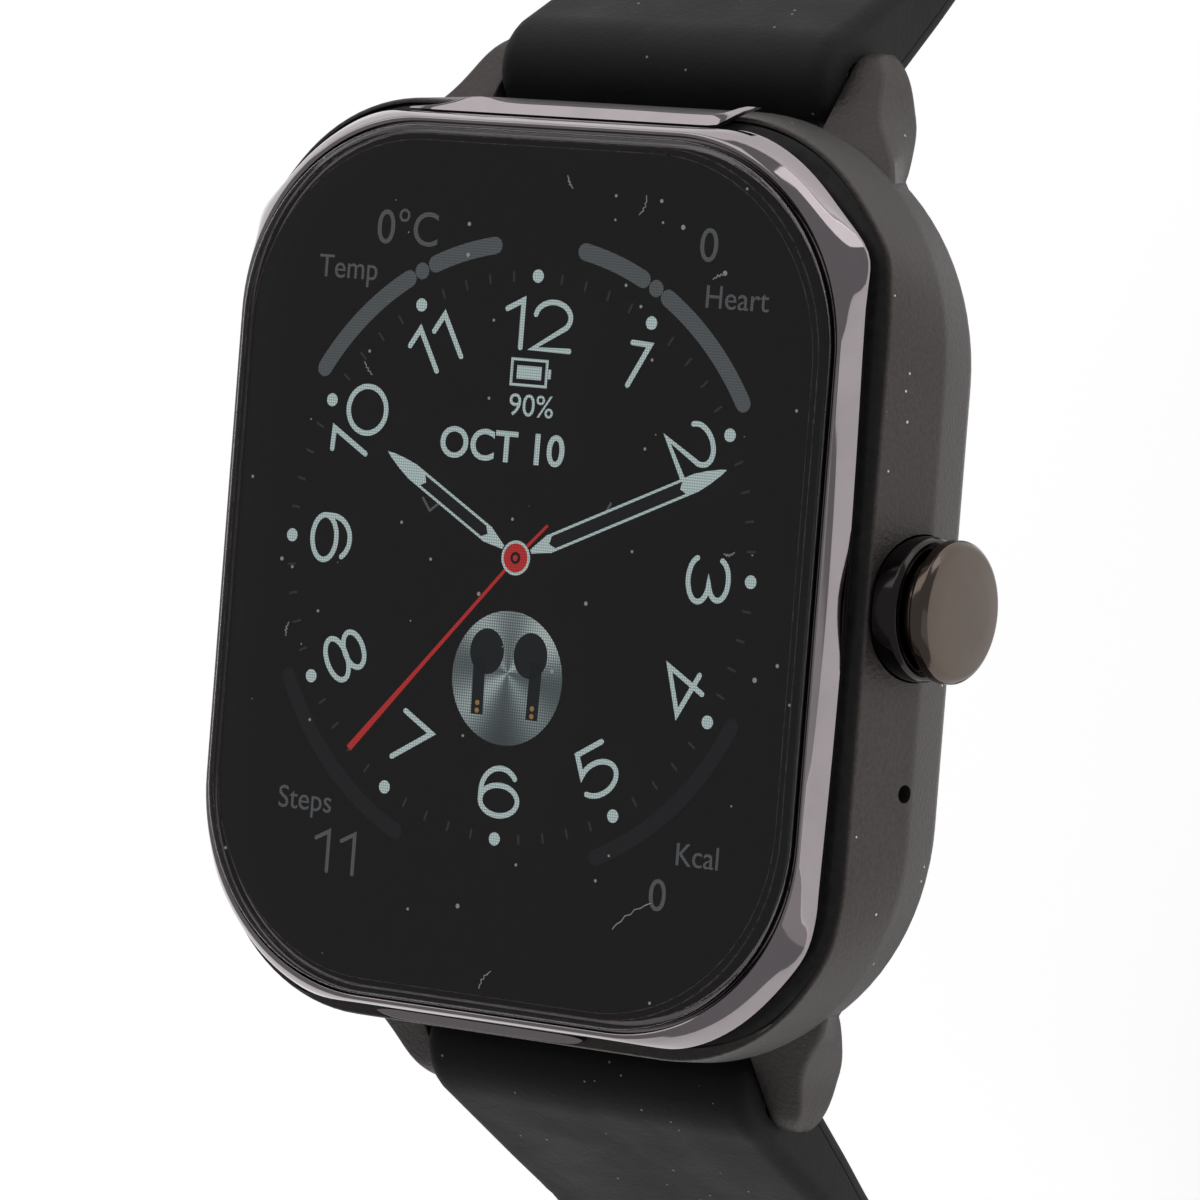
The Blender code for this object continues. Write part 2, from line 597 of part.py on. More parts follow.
straps = {}
for name, sy, curl in (("upper_strap", 1, False), ("lower_strap", -1, True)):
    strap = make(name, loft_bm(strap_rings(curl, sy)), "silicone", 35, (0.0, sy * BAR_Y, BAR_Z))
    straps[name] = strap
    boolean(strap, bar_cut(f"cut_bar_{name}", sy * BAR_Y, BAR_Z, 1.02, -11.0, 11.0))
    notch = []
    a0 = math.radians(ROUTE_ANGLE)
    for x in (4.9, 8.3):
        ring = []
        for ds, n in ((-0.75, -3.4), (0.75, -3.4), (0.75, 0.0), (-0.75, 0.0)):
            u = BAR_Y + math.cos(a0) * ds + math.sin(a0) * n
            z = BAR_Z - math.sin(a0) * ds + math.cos(a0) * n
            ring.append((x, sy * u, z))
        notch.append(ring)
    boolean(strap, helper(make(f"cut_notch_{name}", loft_bm(notch), "silicone")))

    # spring bar: a tube with a fixed left tip and a sliding right pin with its release stub
    end = "upper" if sy > 0 else "lower"
    at = (sy * BAR_Y, BAR_Z)
    tube = make(
        f"{end}_bar_tube",
        turned([(0.54, -11.1), (0.54, -9.7), (0.9, -9.7), (0.9, 9.7), (0.6, 9.7), (0.6, 4.6)], 14, "x", at),
        "steel", 30, (0.0, sy * BAR_Y, BAR_Z),
    )
    slot = []
    for x in (5.05, 8.1):
        slot.append([
            (x, sy * (BAR_Y + math.cos(a0) * ds + math.sin(a0) * n), BAR_Z - math.sin(a0) * ds + math.cos(a0) * n)
            for ds, n in ((-0.42, -1.5), (0.42, -1.5), (0.42, 0.0), (-0.42, 0.0))
        ])
    boolean(tube, helper(make(f"cut_slot_{end}", loft_bm(slot), "steel")))
    pin = make(f"{end}_bar_pin", turned([(0.5, 6.1), (0.5, 11.0), (0.4, 11.1)], 12, "x", at), "steel", 30, (6.1, sy * BAR_Y, BAR_Z))
    stub = []
    for n in (-3.1, -0.1):
        u, z = BAR_Y + math.sin(a0) * n, BAR_Z + math.cos(a0) * n
        du, dz = math.cos(a0) * 0.3, -math.sin(a0) * 0.3
        stub.append([(6.6, sy * (u - du), z - dz), (7.6, sy * (u - du), z - dz), (7.6, sy * (u + du), z + dz), (6.6, sy * (u + du), z + dz)])
    boolean(pin, helper(make(f"stub_{end}", loft_bm(stub), "steel")), "UNION")

# adjusting holes in the 6 o'clock half
for i in range(HOLES):
    s = 60.0 + HOLE_STEP * (i - 0.5) - 8.0
    u, z, a = route(s, True)
    rings = []
    for n in (-3.0, 3.0):
        ring = []
        for j in range(10):
            b = 2 * math.pi * j / 10
            ds = HOLE_R * math.sin(b)
            ring.append((HOLE_R * math.cos(b), -(u + math.cos(a) * ds + math.sin(a) * n), z - math.sin(a) * ds + math.cos(a) * n))
        rings.append(ring)
    boolean(straps["lower_strap"], helper(make(f"cut_hole_{i}", loft_bm(rings), "silicone")))


# ---------------------------------------------------------------- keepers and buckle, on the 12 o'clock half
def keeper_bm(s0, s1, n_in, n_out, wall):
    """Loop round the strap: an outer rounded rectangle less an inner one, swept along the strap."""
    mid = (n_in + n_out) / 2
    hn = (n_out - n_in) / 2
    inner = outline(9.3, hn, 0.5, 0.0, n=2, k=0)
    outer = outline(9.3 + wall, hn + wall, 1.1, 0.0, n=2, k=0)
    rings = []
    for pts, s in ((outer, s0), (outer, s1), (inner, s1), (inner, s0)):
        ring = []
        for x, n, _ in pts:
            u, z = place(s, mid + n, False)
            ring.append((x, u, z))
        rings.append(ring)
    return loft_bm(rings, closed=True)


make("keeper_fixed", keeper_bm(67.0, 72.0, -1.35, 3.75, 1.3), "silicone", 35)
make("keeper_free", keeper_bm(56.0, 61.5, -1.35, 3.75, 1.3), "silicone", 35, (0.0, route(58.0, False)[0], route(58.0, False)[1]))

bu, bz, _ = route(S_BUCKLE, False)
boolean(straps["upper_strap"], bar_cut("cut_bucklebar", bu, bz, 0.82, -11.0, 11.0, 12))
boolean(straps["upper_strap"], route_box("cut_tongue", S_BUCKLE - 3.2, S_BUCKLE + 2.5, -3.0, 3.0, -1.4, 1.4, False, 1))

# buckle frame: a U swept in the strap's plane, its arms bored for the bar
path = [(-BUCKLE_HALF, -1.5), (-BUCKLE_HALF, BUCKLE_LEN - 2.6)]
for i in range(1, 5):
    a = math.radians(180 - 90 * i / 4)
    path.append((-BUCKLE_HALF + 2.6 + 2.6 * math.cos(a), BUCKLE_LEN - 2.6 + 2.6 * math.sin(a)))
path += [(-x, s) for x, s in path[::-1]]
frame_rings = []
for i, (x, s) in enumerate(path):
    xa, sa = path[max(0, i - 1)]
    xb, sb = path[min(len(path) - 1, i + 1)]
    d = math.hypot(xb - xa, sb - sa)
    px, ps = -(sb - sa) / d, (xb - xa) / d
    ring = []
    for w, n in ((1.0, -0.8), (0.7, -1.2), (-0.7, -1.2), (-1.0, -0.8), (-1.0, 0.8), (-0.7, 1.2), (0.7, 1.2), (1.0, 0.8)):
        ring.append((x + px * w, bu + n, bz - (s + ps * w)))
    frame_rings.append(ring)
buckle_frame = make("buckle_frame", loft_bm(frame_rings), "mirror", 30, (0.0, bu, bz))
boolean(buckle_frame, helper(make("cut_ears", turned([(0.74, -13.0), (0.74, 13.0)], 12, "x", (bu, bz)), "mirror")))
make("buckle_bar", turned([(0.55, -11.5), (0.66, -11.4), (0.66, 11.4), (0.55, 11.5)], 12, "x", (bu, bz)), "steel", 30, (0.0, bu, bz))

# tongue: a ring round the bar running into a straight finger that rests on the frame
side = []
for i in range(11):
    a = math.radians(60 + 270 * i / 10)
    side.append((1.5 * math.cos(a), 1.5 * math.sin(a)))
side += [(2.2, -0.2), (8.8, 1.25), (12.0, 1.3), (12.3, 1.8), (11.8, 2.3), (8.4, 2.3), (2.4, 1.35)]
rings = []
for x in (-1.1, 1.1):
    rings.append([(x, bu + n, bz - s) for s, n in side])
tongue = make("buckle_tongue", loft_bm(rings), "steel", 30, (0.0, bu, bz))
boolean(tongue, helper(make("cut_tongue_eye", turned([(0.76, -2.0), (0.76, 2.0)], 12, "x", (bu, bz)), "steel")))
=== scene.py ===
import math

import bmesh
import bpy
from mathutils import Matrix, Vector


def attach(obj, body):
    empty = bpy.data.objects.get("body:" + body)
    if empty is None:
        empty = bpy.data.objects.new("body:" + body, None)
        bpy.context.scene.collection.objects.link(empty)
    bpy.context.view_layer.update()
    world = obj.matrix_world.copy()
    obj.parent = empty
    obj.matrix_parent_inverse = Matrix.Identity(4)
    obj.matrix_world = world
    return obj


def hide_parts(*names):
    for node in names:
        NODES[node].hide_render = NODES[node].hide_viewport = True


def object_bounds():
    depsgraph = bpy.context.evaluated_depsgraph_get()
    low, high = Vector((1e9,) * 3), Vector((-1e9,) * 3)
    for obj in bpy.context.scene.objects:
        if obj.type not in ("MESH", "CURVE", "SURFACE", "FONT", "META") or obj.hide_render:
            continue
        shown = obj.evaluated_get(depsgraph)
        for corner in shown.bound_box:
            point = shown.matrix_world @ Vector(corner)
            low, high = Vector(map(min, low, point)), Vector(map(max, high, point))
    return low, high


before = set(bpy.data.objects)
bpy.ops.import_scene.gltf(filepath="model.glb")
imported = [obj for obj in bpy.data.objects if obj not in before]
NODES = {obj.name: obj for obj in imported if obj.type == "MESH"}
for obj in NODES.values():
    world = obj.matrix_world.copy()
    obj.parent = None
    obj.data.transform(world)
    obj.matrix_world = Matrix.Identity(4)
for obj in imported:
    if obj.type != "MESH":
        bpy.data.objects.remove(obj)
CAD_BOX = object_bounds()
MM = 0.001
scene = bpy.context.scene
scene.view_settings.view_transform = "Standard"

# ------------------------------------------------------------------ node helpers


class Mat:
    """A material and short ways to add nodes to it."""

    def __init__(self, name):
        self.m = bpy.data.materials.new(name)
        self.m.use_nodes = True
        self.nt = self.m.node_tree
        self.b = self.nt.nodes["Principled BSDF"]
        self.coord = self.nt.nodes.new("ShaderNodeTexCoord").outputs["Object"]

    def set(self, **kw):
        names = dict(
            color="Base Color", rough="Roughness", metal="Metallic", spec="Specular IOR Level", coat="Coat Weight",
            coat_rough="Coat Roughness", sheen="Sheen Weight", sheen_rough="Sheen Roughness", sheen_tint="Sheen Tint",
            emit="Emission Color", strength="Emission Strength", ior="IOR", aniso="Anisotropic",
        )
        for k, v in kw.items():
            sock = self.b.inputs[names[k]]
            if isinstance(v, bpy.types.NodeSocket):
                self.nt.links.new(v, sock)
            elif isinstance(v, tuple):
                sock.default_value = (*v, 1.0)
            else:
                sock.default_value = v
        return self

    def link(self, a, b):
        self.nt.links.new(a, b)

    def node(self, kind, **attrs):
        n = self.nt.nodes.new(kind)
        for k, v in attrs.items():
            setattr(n, k, v)
        return n

    def noise(self, size_mm, detail=2.0, rough=0.5, coord=None, distort=0.0):
        n = self.node("ShaderNodeTexNoise")
        n.inputs["Scale"].default_value = 1000.0 / size_mm
        n.inputs["Detail"].default_value = detail
        n.inputs["Roughness"].default_value = rough
        n.inputs["Distortion"].default_value = distort
        self.link(coord or self.coord, n.inputs["Vector"])
        return n.outputs["Fac"]

    def ramp(self, fac, stops, linear=True):
        n = self.node("ShaderNodeValToRGB")
        el = n.color_ramp.elements
        while len(el) > 1:
            el.remove(el[0])
        el[0].position = stops[0][0]
        el[0].color = (*self.rgb(stops[0][1]), 1.0)
        for p, c in stops[1:]:
            e = el.new(p)
            e.color = (*self.rgb(c), 1.0)
        self.link(fac, n.inputs["Fac"])
        return n.outputs["Color"]

    @staticmethod
    def rgb(c):
        return (c, c, c) if isinstance(c, (int, float)) else c

    def math(self, op, a, b=None, clamp=False):
        n = self.node("ShaderNodeMath", operation=op)
        n.use_clamp = clamp
        for i, v in enumerate((a, b)):
            if v is None:
                continue
            if isinstance(v, (int, float)):
                n.inputs[i].default_value = v
            else:
                self.link(v, n.inputs[i])
        return n.outputs[0]

    def mix(self, fac, a, b):
        n = self.node("ShaderNodeMix", data_type="RGBA")
        for sock, v in ((n.inputs[0], fac), (n.inputs[6], a), (n.inputs[7], b)):
            if isinstance(v, bpy.types.NodeSocket):
                self.link(v, sock)
            elif isinstance(v, tuple):
                sock.default_value = (*v, 1.0)
            else:
                sock.default_value = v
        return n.outputs[2]

    def bump(self, height, strength, dist_mm):
        n = self.node("ShaderNodeBump")
        n.inputs["Strength"].default_value = strength
        n.inputs["Distance"].default_value = dist_mm * MM
        self.link(height, n.inputs["Height"])
        self.link(n.outputs["Normal"], self.b.inputs["Normal"])
        return self

    def specks(self, cell_mm, size, keep):
        """1 on small round specks: cells of that size, a speck of that share of a cell in a share keep of them."""
        v = self.node("ShaderNodeTexVoronoi")
        v.inputs["Scale"].default_value = 1000.0 / cell_mm
        self.link(self.coord, v.inputs["Vector"])
        near = self.math("LESS_THAN", v.outputs["Distance"], size)
        sep = self.node("ShaderNodeSeparateColor")
        self.link(v.outputs["Color"], sep.inputs[0])
        pick = self.math("LESS_THAN", sep.outputs[0], keep)
        return self.math("MULTIPLY", near, pick)


def assign(name, m):
    obj = NODES[name]
    obj.data.materials.clear()
    obj.data.materials.append(m.m if isinstance(m, Mat) else m)


# ------------------------------------------------------------------ materials
def make_blast():
    m = Mat("case_beadblast")
    grain = m.noise(0.24, 3.0, 0.65)
    broad = m.noise(6.0, 3.0, 0.55)
    base = m.ramp(grain, [(0.35, (0.052, 0.046, 0.0425)), (0.65, (0.077, 0.068, 0.064))])
    base = m.mix(m.ramp(broad, [(0.35, 0.0), (0.7, 0.35)]), base, (0.054, 0.048, 0.0445))
    dust = m.specks(1.2, 0.06, 0.30)
    base = m.mix(dust, base, (0.62, 0.60, 0.56))
    m.set(color=base, metal=0.72, spec=0.5)
    m.set(rough=m.ramp(grain, [(0.3, 0.40), (0.7, 0.52)]))
    return m.bump(grain, 0.8, 0.05)


def make_mirror(name, base, rough, smear=0.05):
    m = Mat(name)
    haze = m.noise(3.5, 4.0, 0.6, distort=0.6)
    fine = m.noise(0.5, 2.0, 0.5)
    m.set(color=m.mix(m.ramp(haze, [(0.35, 0.0), (0.75, 1.0)]), base, tuple(0.9 * c for c in base)), metal=1.0)
    m.set(rough=m.ramp(haze, [(0.35, rough), (0.75, rough + smear)]))
    return m.bump(fine, 0.02, 0.02)


def make_silicone(name="strap_silicone", dust_keep=0.3):
    m = Mat(name)
    fine = m.noise(0.34, 3.0, 0.65)
    broad = m.noise(4.0, 4.0, 0.6, distort=0.4)
    base = m.ramp(broad, [(0.3, (0.0098, 0.0087, 0.0093)), (0.75, (0.0180, 0.0162, 0.0168))])
    dust = m.math("MAXIMUM", m.specks(0.8, 0.085, dust_keep), m.specks(2.2, 0.055, 0.35))
    base = m.mix(dust, base, (0.30, 0.28, 0.26))
    m.set(color=base, metal=0.0, spec=0.22, sheen=0.04, sheen_rough=0.45)
    m.set(rough=m.ramp(broad, [(0.3, 0.62), (0.75, 0.80)]))
    return m.bump(fine, 0.7, 0.04)


BLAST = make_blast()
MIRROR = make_mirror("bezel_gunmetal_mirror", (0.335, 0.30, 0.31), 0.04)
CROWNM = make_mirror("crown_gunmetal", (0.122, 0.098, 0.083), 0.12, 0.08)
# crown ring: the bezel's gunmetal mirror with its colour darkened to near black, painted shade standing for the dark
# case it reflects
COLLAR_PAINTED_SHADE = make_mirror("crown_ring_painted_shade", (0.045, 0.041, 0.040), 0.10, 0.06)
STEEL = make_mirror("stainless_steel", (0.60, 0.59, 0.58), 0.18, 0.10)
BUCKLEM = make_mirror("buckle_gunmetal", (0.30, 0.275, 0.27), 0.12, 0.08)
SILICONE = make_silicone()

RUBBER = Mat("seal_rubber")
RUBBER.set(color=RUBBER.ramp(RUBBER.noise(0.4), [(0.3, 0.006), (0.7, 0.013)]), rough=0.55, spec=0.3)
RUBBER.bump(RUBBER.noise(0.3), 0.15, 0.02)

GROOVE = Mat("groove_black")
GROOVE.set(color=GROOVE.ramp(GROOVE.noise(0.6), [(0.3, 0.020), (0.7, 0.034)]), rough=0.32, spec=0.4)
GROOVE.bump(GROOVE.noise(0.5), 0.1, 0.02)

LIP = Mat("lip_black_gloss")
LIP.set(color=LIP.ramp(LIP.noise(1.5), [(0.3, (0.0045, 0.0038, 0.0042)), (0.7, (0.010, 0.008, 0.008))]), rough=0.06, spec=0.6)

PLASTIC = Mat("back_plastic")
PLASTIC.set(color=PLASTIC.ramp(PLASTIC.noise(0.5), [(0.3, (0.011, 0.0105, 0.011)), (0.7, (0.018, 0.017, 0.018))]), rough=0.42, spec=0.4)
PLASTIC.bump(PLASTIC.noise(0.18, 3.0), 0.3, 0.03)

WINDOW = Mat("sensor_window_gloss")
WINDOW.set(color=WINDOW.ramp(WINDOW.noise(2.0), [(0.3, (0.003, 0.003, 0.0035)), (0.7, (0.006, 0.006, 0.007))]), rough=0.05, spec=0.5, coat=0.6, coat_rough=0.03)

GOLD = make_mirror("contact_gold", (0.83, 0.60, 0.26), 0.14, 0.08)

PCB = Mat("board_green")
PCB.set(color=PCB.ramp(PCB.noise(1.2, 2.0), [(0.4, (0.006, 0.055, 0.022)), (0.55, (0.012, 0.085, 0.035))]), rough=0.3, spec=0.5)
PCB.bump(PCB.noise(0.6), 0.2, 0.03)
FOIL = make_mirror("tinned_sheet", (0.62, 0.62, 0.60), 0.28, 0.12)
FLEX = Mat("flex_amber")
FLEX.set(color=FLEX.ramp(FLEX.noise(1.0), [(0.3, (0.30, 0.12, 0.02)), (0.7, (0.42, 0.19, 0.035))]), rough=0.35)
LED = Mat("led_green")
LED.set(color=LED.ramp(LED.noise(0.5), [(0.3, (0.05, 0.45, 0.12)), (0.7, (0.09, 0.60, 0.20))]), rough=0.2, coat=0.5)
CHIP = Mat("chip_black")
CHIP.set(color=CHIP.ramp(CHIP.noise(0.3), [(0.3, 0.010), (0.7, 0.022)]), rough=0.5)
CHIP.bump(CHIP.noise(0.2), 0.2, 0.02)

for names, m in (
    (("bezel_gasket", "back_gasket", "crown_oring", "glass_adhesive"), RUBBER),
    (("inner_frame", "processor", "photodiode", "speaker", "crown_follower"), CHIP),
    (("main_pcb", "sensor_board"), PCB),
    (("battery", "backlight_unit", "shield_can", "microphone"), FOIL),
    (("vibration_motor", "charge_magnet_a", "charge_magnet_b", "crown_clip", "crown_shaft", "crown_switch", "back_screw_1",
      "back_screw_2", "back_screw_3", "back_screw_4", "upper_bar_tube", "upper_bar_pin", "lower_bar_tube", "lower_bar_pin", "buckle_bar"), STEEL),
    (("display_flex",), FLEX),
    (("sensor_led_a", "sensor_led_b"), LED),
    (("charge_pin_a", "charge_pin_b"), GOLD),
    (("display_panel",), LIP),
    (("mid_case",), BLAST),
    (("bezel", "bezel_tab_12", "bezel_tab_6", "crown_collar"), MIRROR),
    (("crown_cap",), CROWNM),
    (("upper_strap", "lower_strap", "keeper_fixed", "keeper_free"), SILICONE),
    (("back_cover",), PLASTIC),
    (("sensor_window",), WINDOW),
    (("buckle_frame", "buckle_tongue"), BUCKLEM),
    (("cover_glass",), LIP),
):
    for n in names:
        assign(n, m)


# ------------------------------------------------------------------ mesh helpers (millimetres in, metres out)
def finish_mesh(name, bm, mats, body, angle=30.0, smooth=True, recalc=True):
    bmesh.ops.remove_doubles(bm, verts=bm.verts, dist=1e-5)
    if recalc:
        bmesh.ops.recalc_face_normals(bm, faces=bm.faces)
    for v in bm.verts:
        v.co = v.co * MM
    me = bpy.data.meshes.new(name)
    bm.to_mesh(me)
    bm.free()
    obj = bpy.data.objects.new(name, me)
    scene.collection.objects.link(obj)
    for m in mats if isinstance(mats, (list, tuple)) else [mats]:
        me.materials.append(m.m if isinstance(m, Mat) else m)
    if smooth:
        me.shade_smooth()
        me.set_sharp_from_angle(angle=math.radians(angle))
    if body:
        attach(obj, body)
    return obj


def loft(rings, closed=False, bm=None, caps=True):
    bm = bm or bmesh.new()
    rows = [[bm.verts.new(p) for p in ring] for ring in rings]
    n = len(rows[0])
    for i in range(len(rows) if closed else len(rows) - 1):
        a, b = rows[i], rows[(i + 1) % len(rows)]
        for j in range(n):
            bm.faces.new((a[j], a[(j + 1) % n], b[(j + 1) % n], b[j]))
    if not closed and caps:
        bm.faces.new(rows[0][::-1])
        bm.faces.new(rows[-1])
    return bm


def slab(bm, faces, drop):
    """Give flat faces a thickness downwards, so that each mark is a closed chip."""
    made = bmesh.ops.extrude_face_region(bm, geom=faces)
    for v in [g for g in made["geom"] if isinstance(g, bmesh.types.BMVert)]:
        v.co.z += drop
    return bm


def arc(cx, cy, rx, ry, a0, a1, n=18):
    return [
        (cx + rx * math.cos(math.radians(a0 + (a1 - a0) * i / n)), cy + ry * math.sin(math.radians(a0 + (a1 - a0) * i / n)))
        for i in range(n + 1)
    ]


def ribbon(bm, pts, width, z, closed=False, ends=True, widths=None):
    """Flat stroke along 2D points with mitred corners and round ends."""
    pts = [Vector(p) for p in pts]
    n = len(pts)
    if closed and (pts[0] - pts[-1]).length < 1e-6:
        pts = pts[:-1]
        n -= 1
    rows = []
    for i, p in enumerate(pts):
        a = pts[(i - 1) % n] if (closed or i > 0) else p
        b = pts[(i + 1) % n] if (closed or i < n - 1) else p
        d0 = (p - a).normalized() if (p - a).length > 1e-9 else (b - p).normalized()
        d1 = (b - p).normalized() if (b - p).length > 1e-9 else d0
        t = d0 + d1
        t = t.normalized() if t.length > 1e-6 else d0
        nrm = Vector((-t.y, t.x))
        lean = max(0.42, abs(nrm.dot(Vector((-d0.y, d0.x)))))
        w = (widths[i] if widths else width) / 2 / lean
        rows.append((bm.verts.new((p.x + nrm.x * w, p.y + nrm.y * w, z)), bm.verts.new((p.x - nrm.x * w, p.y - nrm.y * w, z)), t))
    faces = []
    for i in range(n if closed else n - 1):
        a, b = rows[i], rows[(i + 1) % n]
        faces.append(bm.faces.new((a[0], a[1], b[1], b[0])))
    if ends and not closed:
        for idx, sign in ((0, -1), (n - 1, 1)):
            l, r, t = rows[idx]
            c = (l.co + r.co) / 2
            rad = (l.co - r.co).length / 2
            base = math.atan2(t.y, t.x)
            mid = []
            for k in range(1, 6):
                ang = base + (math.pi / 2 - math.pi * k / 6) * 1.0
                if sign < 0:
                    ang = base + math.pi + (math.pi / 2 - math.pi * k / 6)
                mid.append(bm.verts.new((c.x + rad * math.cos(ang), c.y + rad * math.sin(ang), z)))
            ring = [l] + mid + [r] if sign > 0 else [r] + mid + [l]
            faces.append(bm.faces.new(ring))
    return faces


def disc(bm, cx, cy, r, z, n=24, ry=None):
    return [bm.faces.new([bm.verts.new((cx + r * math.cos(2 * math.pi * i / n), cy + (ry or r) * math.sin(2 * math.pi * i / n), z)) for i in range(n)])]


# ------------------------------------------------------------------ stroke numerals, height 1, baseline 0
def glyph(ch, w):
    """(advance width, strokes) of a thin wide numeral; a stroke is (points, closed)."""
    if ch == "0":
        return w, [(arc(w / 2, 0.5, w / 2, 0.5, 0, 360, 40), True)]
    if ch == "1":
        return 0.46 * w, [([(0.0, 0.80), (0.40 * w, 1.0), (0.40 * w, 0.0)], False)]
    if ch == "2":
        top = arc(w * 0.49, 0.68, w * 0.45, 0.32, 172, -38, 22)
        return w, [(top + [(0.02 * w, 0.0), (0.96 * w, 0.0)], False)]
    if ch == "3":
        up = arc(w * 0.47, 0.755, w * 0.42, 0.245, 165, -88, 20)
        low = arc(w * 0.49, 0.265, w * 0.46, 0.265, 88, -165, 20)
        return w, [(up + low[1:], False)]
    if ch == "4":
        return w, [([(0.70 * w, 0.0), (0.70 * w, 1.0), (0.0, 0.27), (0.98 * w, 0.27)], False)]
    if ch == "5":
        bowl = arc(w * 0.48, 0.33, w * 0.48, 0.33, 138, -148, 26)
        return w, [([(0.88 * w, 1.0), (0.20 * w, 1.0)] + bowl, False)]
    if ch in "69":
        bowl = arc(w * 0.5, 0.32, w * 0.48, 0.32, 0, 360, 36)
        sweep = arc(w * 0.5, 0.50, w * 0.48, 0.50, 38, 180, 20) + [(0.02 * w, 0.40), (0.02 * w, 0.32)]
        out = [(bowl, True), (sweep, False)]
        if ch == "9":
            out = [([(w - x, 1 - y) for x, y in pts], c) for pts, c in out]
        return w, out
    if ch == "7":
        return 0.86 * w, [([(0.0, 1.0), (0.84 * w, 1.0), (0.26 * w, 0.0)], False)]
    if ch == "8":
        return w, [(arc(w * 0.5, 0.755, w * 0.40, 0.245, 0, 360, 30), True), (arc(w * 0.5, 0.265, w * 0.47, 0.265, 0, 360, 34), True)]
    return 0.4, []


def numeral(bm, text, cx, cy, height, width, turn, stroke, z, gap=0.24):
    """Write a number centred on a point, turned by an angle in degrees (clockwise positive)."""
    parts, pen = [], 0.0
    for i, ch in enumerate(text):
        adv, strokes = glyph(ch, width)
        parts += [([(pen + x, y) for x, y in pts], c) for pts, c in strokes]
        pen += adv + (gap if i < len(text) - 1 else 0)
    a = math.radians(-turn)
    faces = []
    for pts, c in parts:
        placed = []
        for x, y in pts:
            u, v = (x - pen / 2) * height, (y - 0.5) * height
            placed.append((cx + u * math.cos(a) - v * math.sin(a), cy + u * math.sin(a) + v * math.cos(a)))
        faces += ribbon(bm, placed, stroke, z, closed=c)
    return faces


# ------------------------------------------------------------------ inks of the picture
def ink(name, rgb, grid=0.35, strength=1.0, spokes=False):
    """Light of the display: its colour, broken by the fine grid of the panel's dots."""
    m = Mat(name)
    sep = m.node("ShaderNodeSeparateXYZ")
    m.link(m.coord, sep.inputs[0])
    pitch = 0.137 * MM
    wave = []
    for axis in (0, 1):
        s = m.math("SINE", m.math("MULTIPLY", sep.outputs[axis], 2 * math.pi / pitch))
        wave.append(m.math("MULTIPLY", m.math("ADD", s, 1.0), 0.5))
    cells = m.math("MULTIPLY", wave[0], wave[1])
    level = m.math("ADD", m.math("MULTIPLY", cells, 2.2 * grid), 1.0 - grid)
    color = m.mix(m.math("MULTIPLY", level, 0.8, clamp=True), (0.0, 0.0, 0.0), tuple(c * 1.25 for c in rgb))
    m.set(color=(0.002, 0.002, 0.002), rough=0.35, spec=0.1, emit=color, strength=strength)
    return m


DC = (0.0, 0.7)          # dial centre
Z_PIC = 11.30            # plane of the picture
RING = 13.9              # radius of the hour dots

PALE = ink("ink_pale", (0.40, 0.50, 0.49), 0.38)
DIM = ink("ink_dim", (0.075, 0.080, 0.083), 0.3)
FAINT = ink("ink_faint", (0.0055, 0.006, 0.007), 0.2)
GAUGE = ink("ink_gauge", (0.075, 0.086, 0.090), 0.32)
RED = ink("ink_red", (0.42, 0.022, 0.022), 0.3)
DARK = ink("ink_dark", (0.004, 0.004, 0.005), 0.1)
AMBER = ink("ink_amber", (0.24, 0.15, 0.05), 0.2)


def chips(name, mat_, build, z=Z_PIC, drop=-0.012):
    bm = bmesh.new()
    faces = build(bm, z)
    bmesh.ops.recalc_face_normals(bm, faces=bm.faces)
    for f in bm.faces:
        if f.normal.z < 0:
            f.normal_flip()
    slab(bm, list(bm.faces), drop)
    return finish_mesh(name, bm, mat_, "case", smooth=False)


def at(radius, hour, centre=DC):
    a = math.radians(30 * hour)
    return centre[0] + radius * math.sin(a), centre[1] + radius * math.cos(a)


def numerals(bm, z):
    H, W, S = 2.34, 1.0, 0.27
    faces = []
    spots = (
        ("12", 0.30, 12.20, 0), ("1", 6.05, 10.85, 30), ("2", 9.96, 6.85, 60), ("3", 11.44, 0.55, 90), ("4", 10.35, -4.75, -60),
        ("5", 5.76, -9.25, -30), ("6", 0.07, -10.87, 0), ("7", -5.72, -8.95, 30), ("8", -10.02, -5.0, 60), ("9", -11.45, 0.75, -90),
        ("10", -10.21, 6.60, -60), ("11", -5.94, 10.75, -30),
    )
    for text, x, y, turn in spots:
        faces += numeral(bm, text, x, y, H, W, turn, S, z)
    return faces


chips("dial_numerals", PALE, numerals)
chips("dial_hour_dots", PALE, lambda bm, z: [f for h in range(12) for f in disc(bm, *at(RING, h), 0.33, z, 20)])


def ticks(bm, z):
    faces = []
    for i in range(60):
        if i % 5:
            a, b = at(RING - 0.28, i / 5), at(RING + 0.22, i / 5)
            faces += ribbon(bm, [a, b], 0.11, z, ends=False)
    return faces


chips("dial_minute_ticks", ink("ink_tick", (0.022, 0.024, 0.026), 0.2), ticks)

GC, GR = (0.0, 1.25), 14.95


def gauge(bm, z, side):
    faces = []
    for a0, a1 in ((100.5, 114.8), (121.5, 147.8)):
        pts = arc(GC[0], GC[1], GR, GR, a0, a1, 24)
        faces += ribbon(bm, [(x * side, y) for x, y in pts], 0.86, z)
    x, y = GC[0] + GR * math.cos(math.radians(118.2)), GC[1] + GR * math.sin(math.radians(118.2))
    return faces + disc(bm, side * x, y, 0.42, z, 22)


chips("dial_gauge_left", GAUGE, lambda bm, z: gauge(bm, z, 1))
chips("dial_gauge_right", GAUGE, lambda bm, z: gauge(bm, z, -1))
# low unlit arcs that close the gauge ring below
chips(
    "dial_gauge_unlit",
    FAINT,
    lambda bm, z: [f for side in (1, -1) for f in ribbon(bm, [(x * side, y) for x, y in arc(GC[0], 0.2, GR, GR, 206, 246, 24)], 0.8, z)],
    z=Z_PIC - 0.004,
)


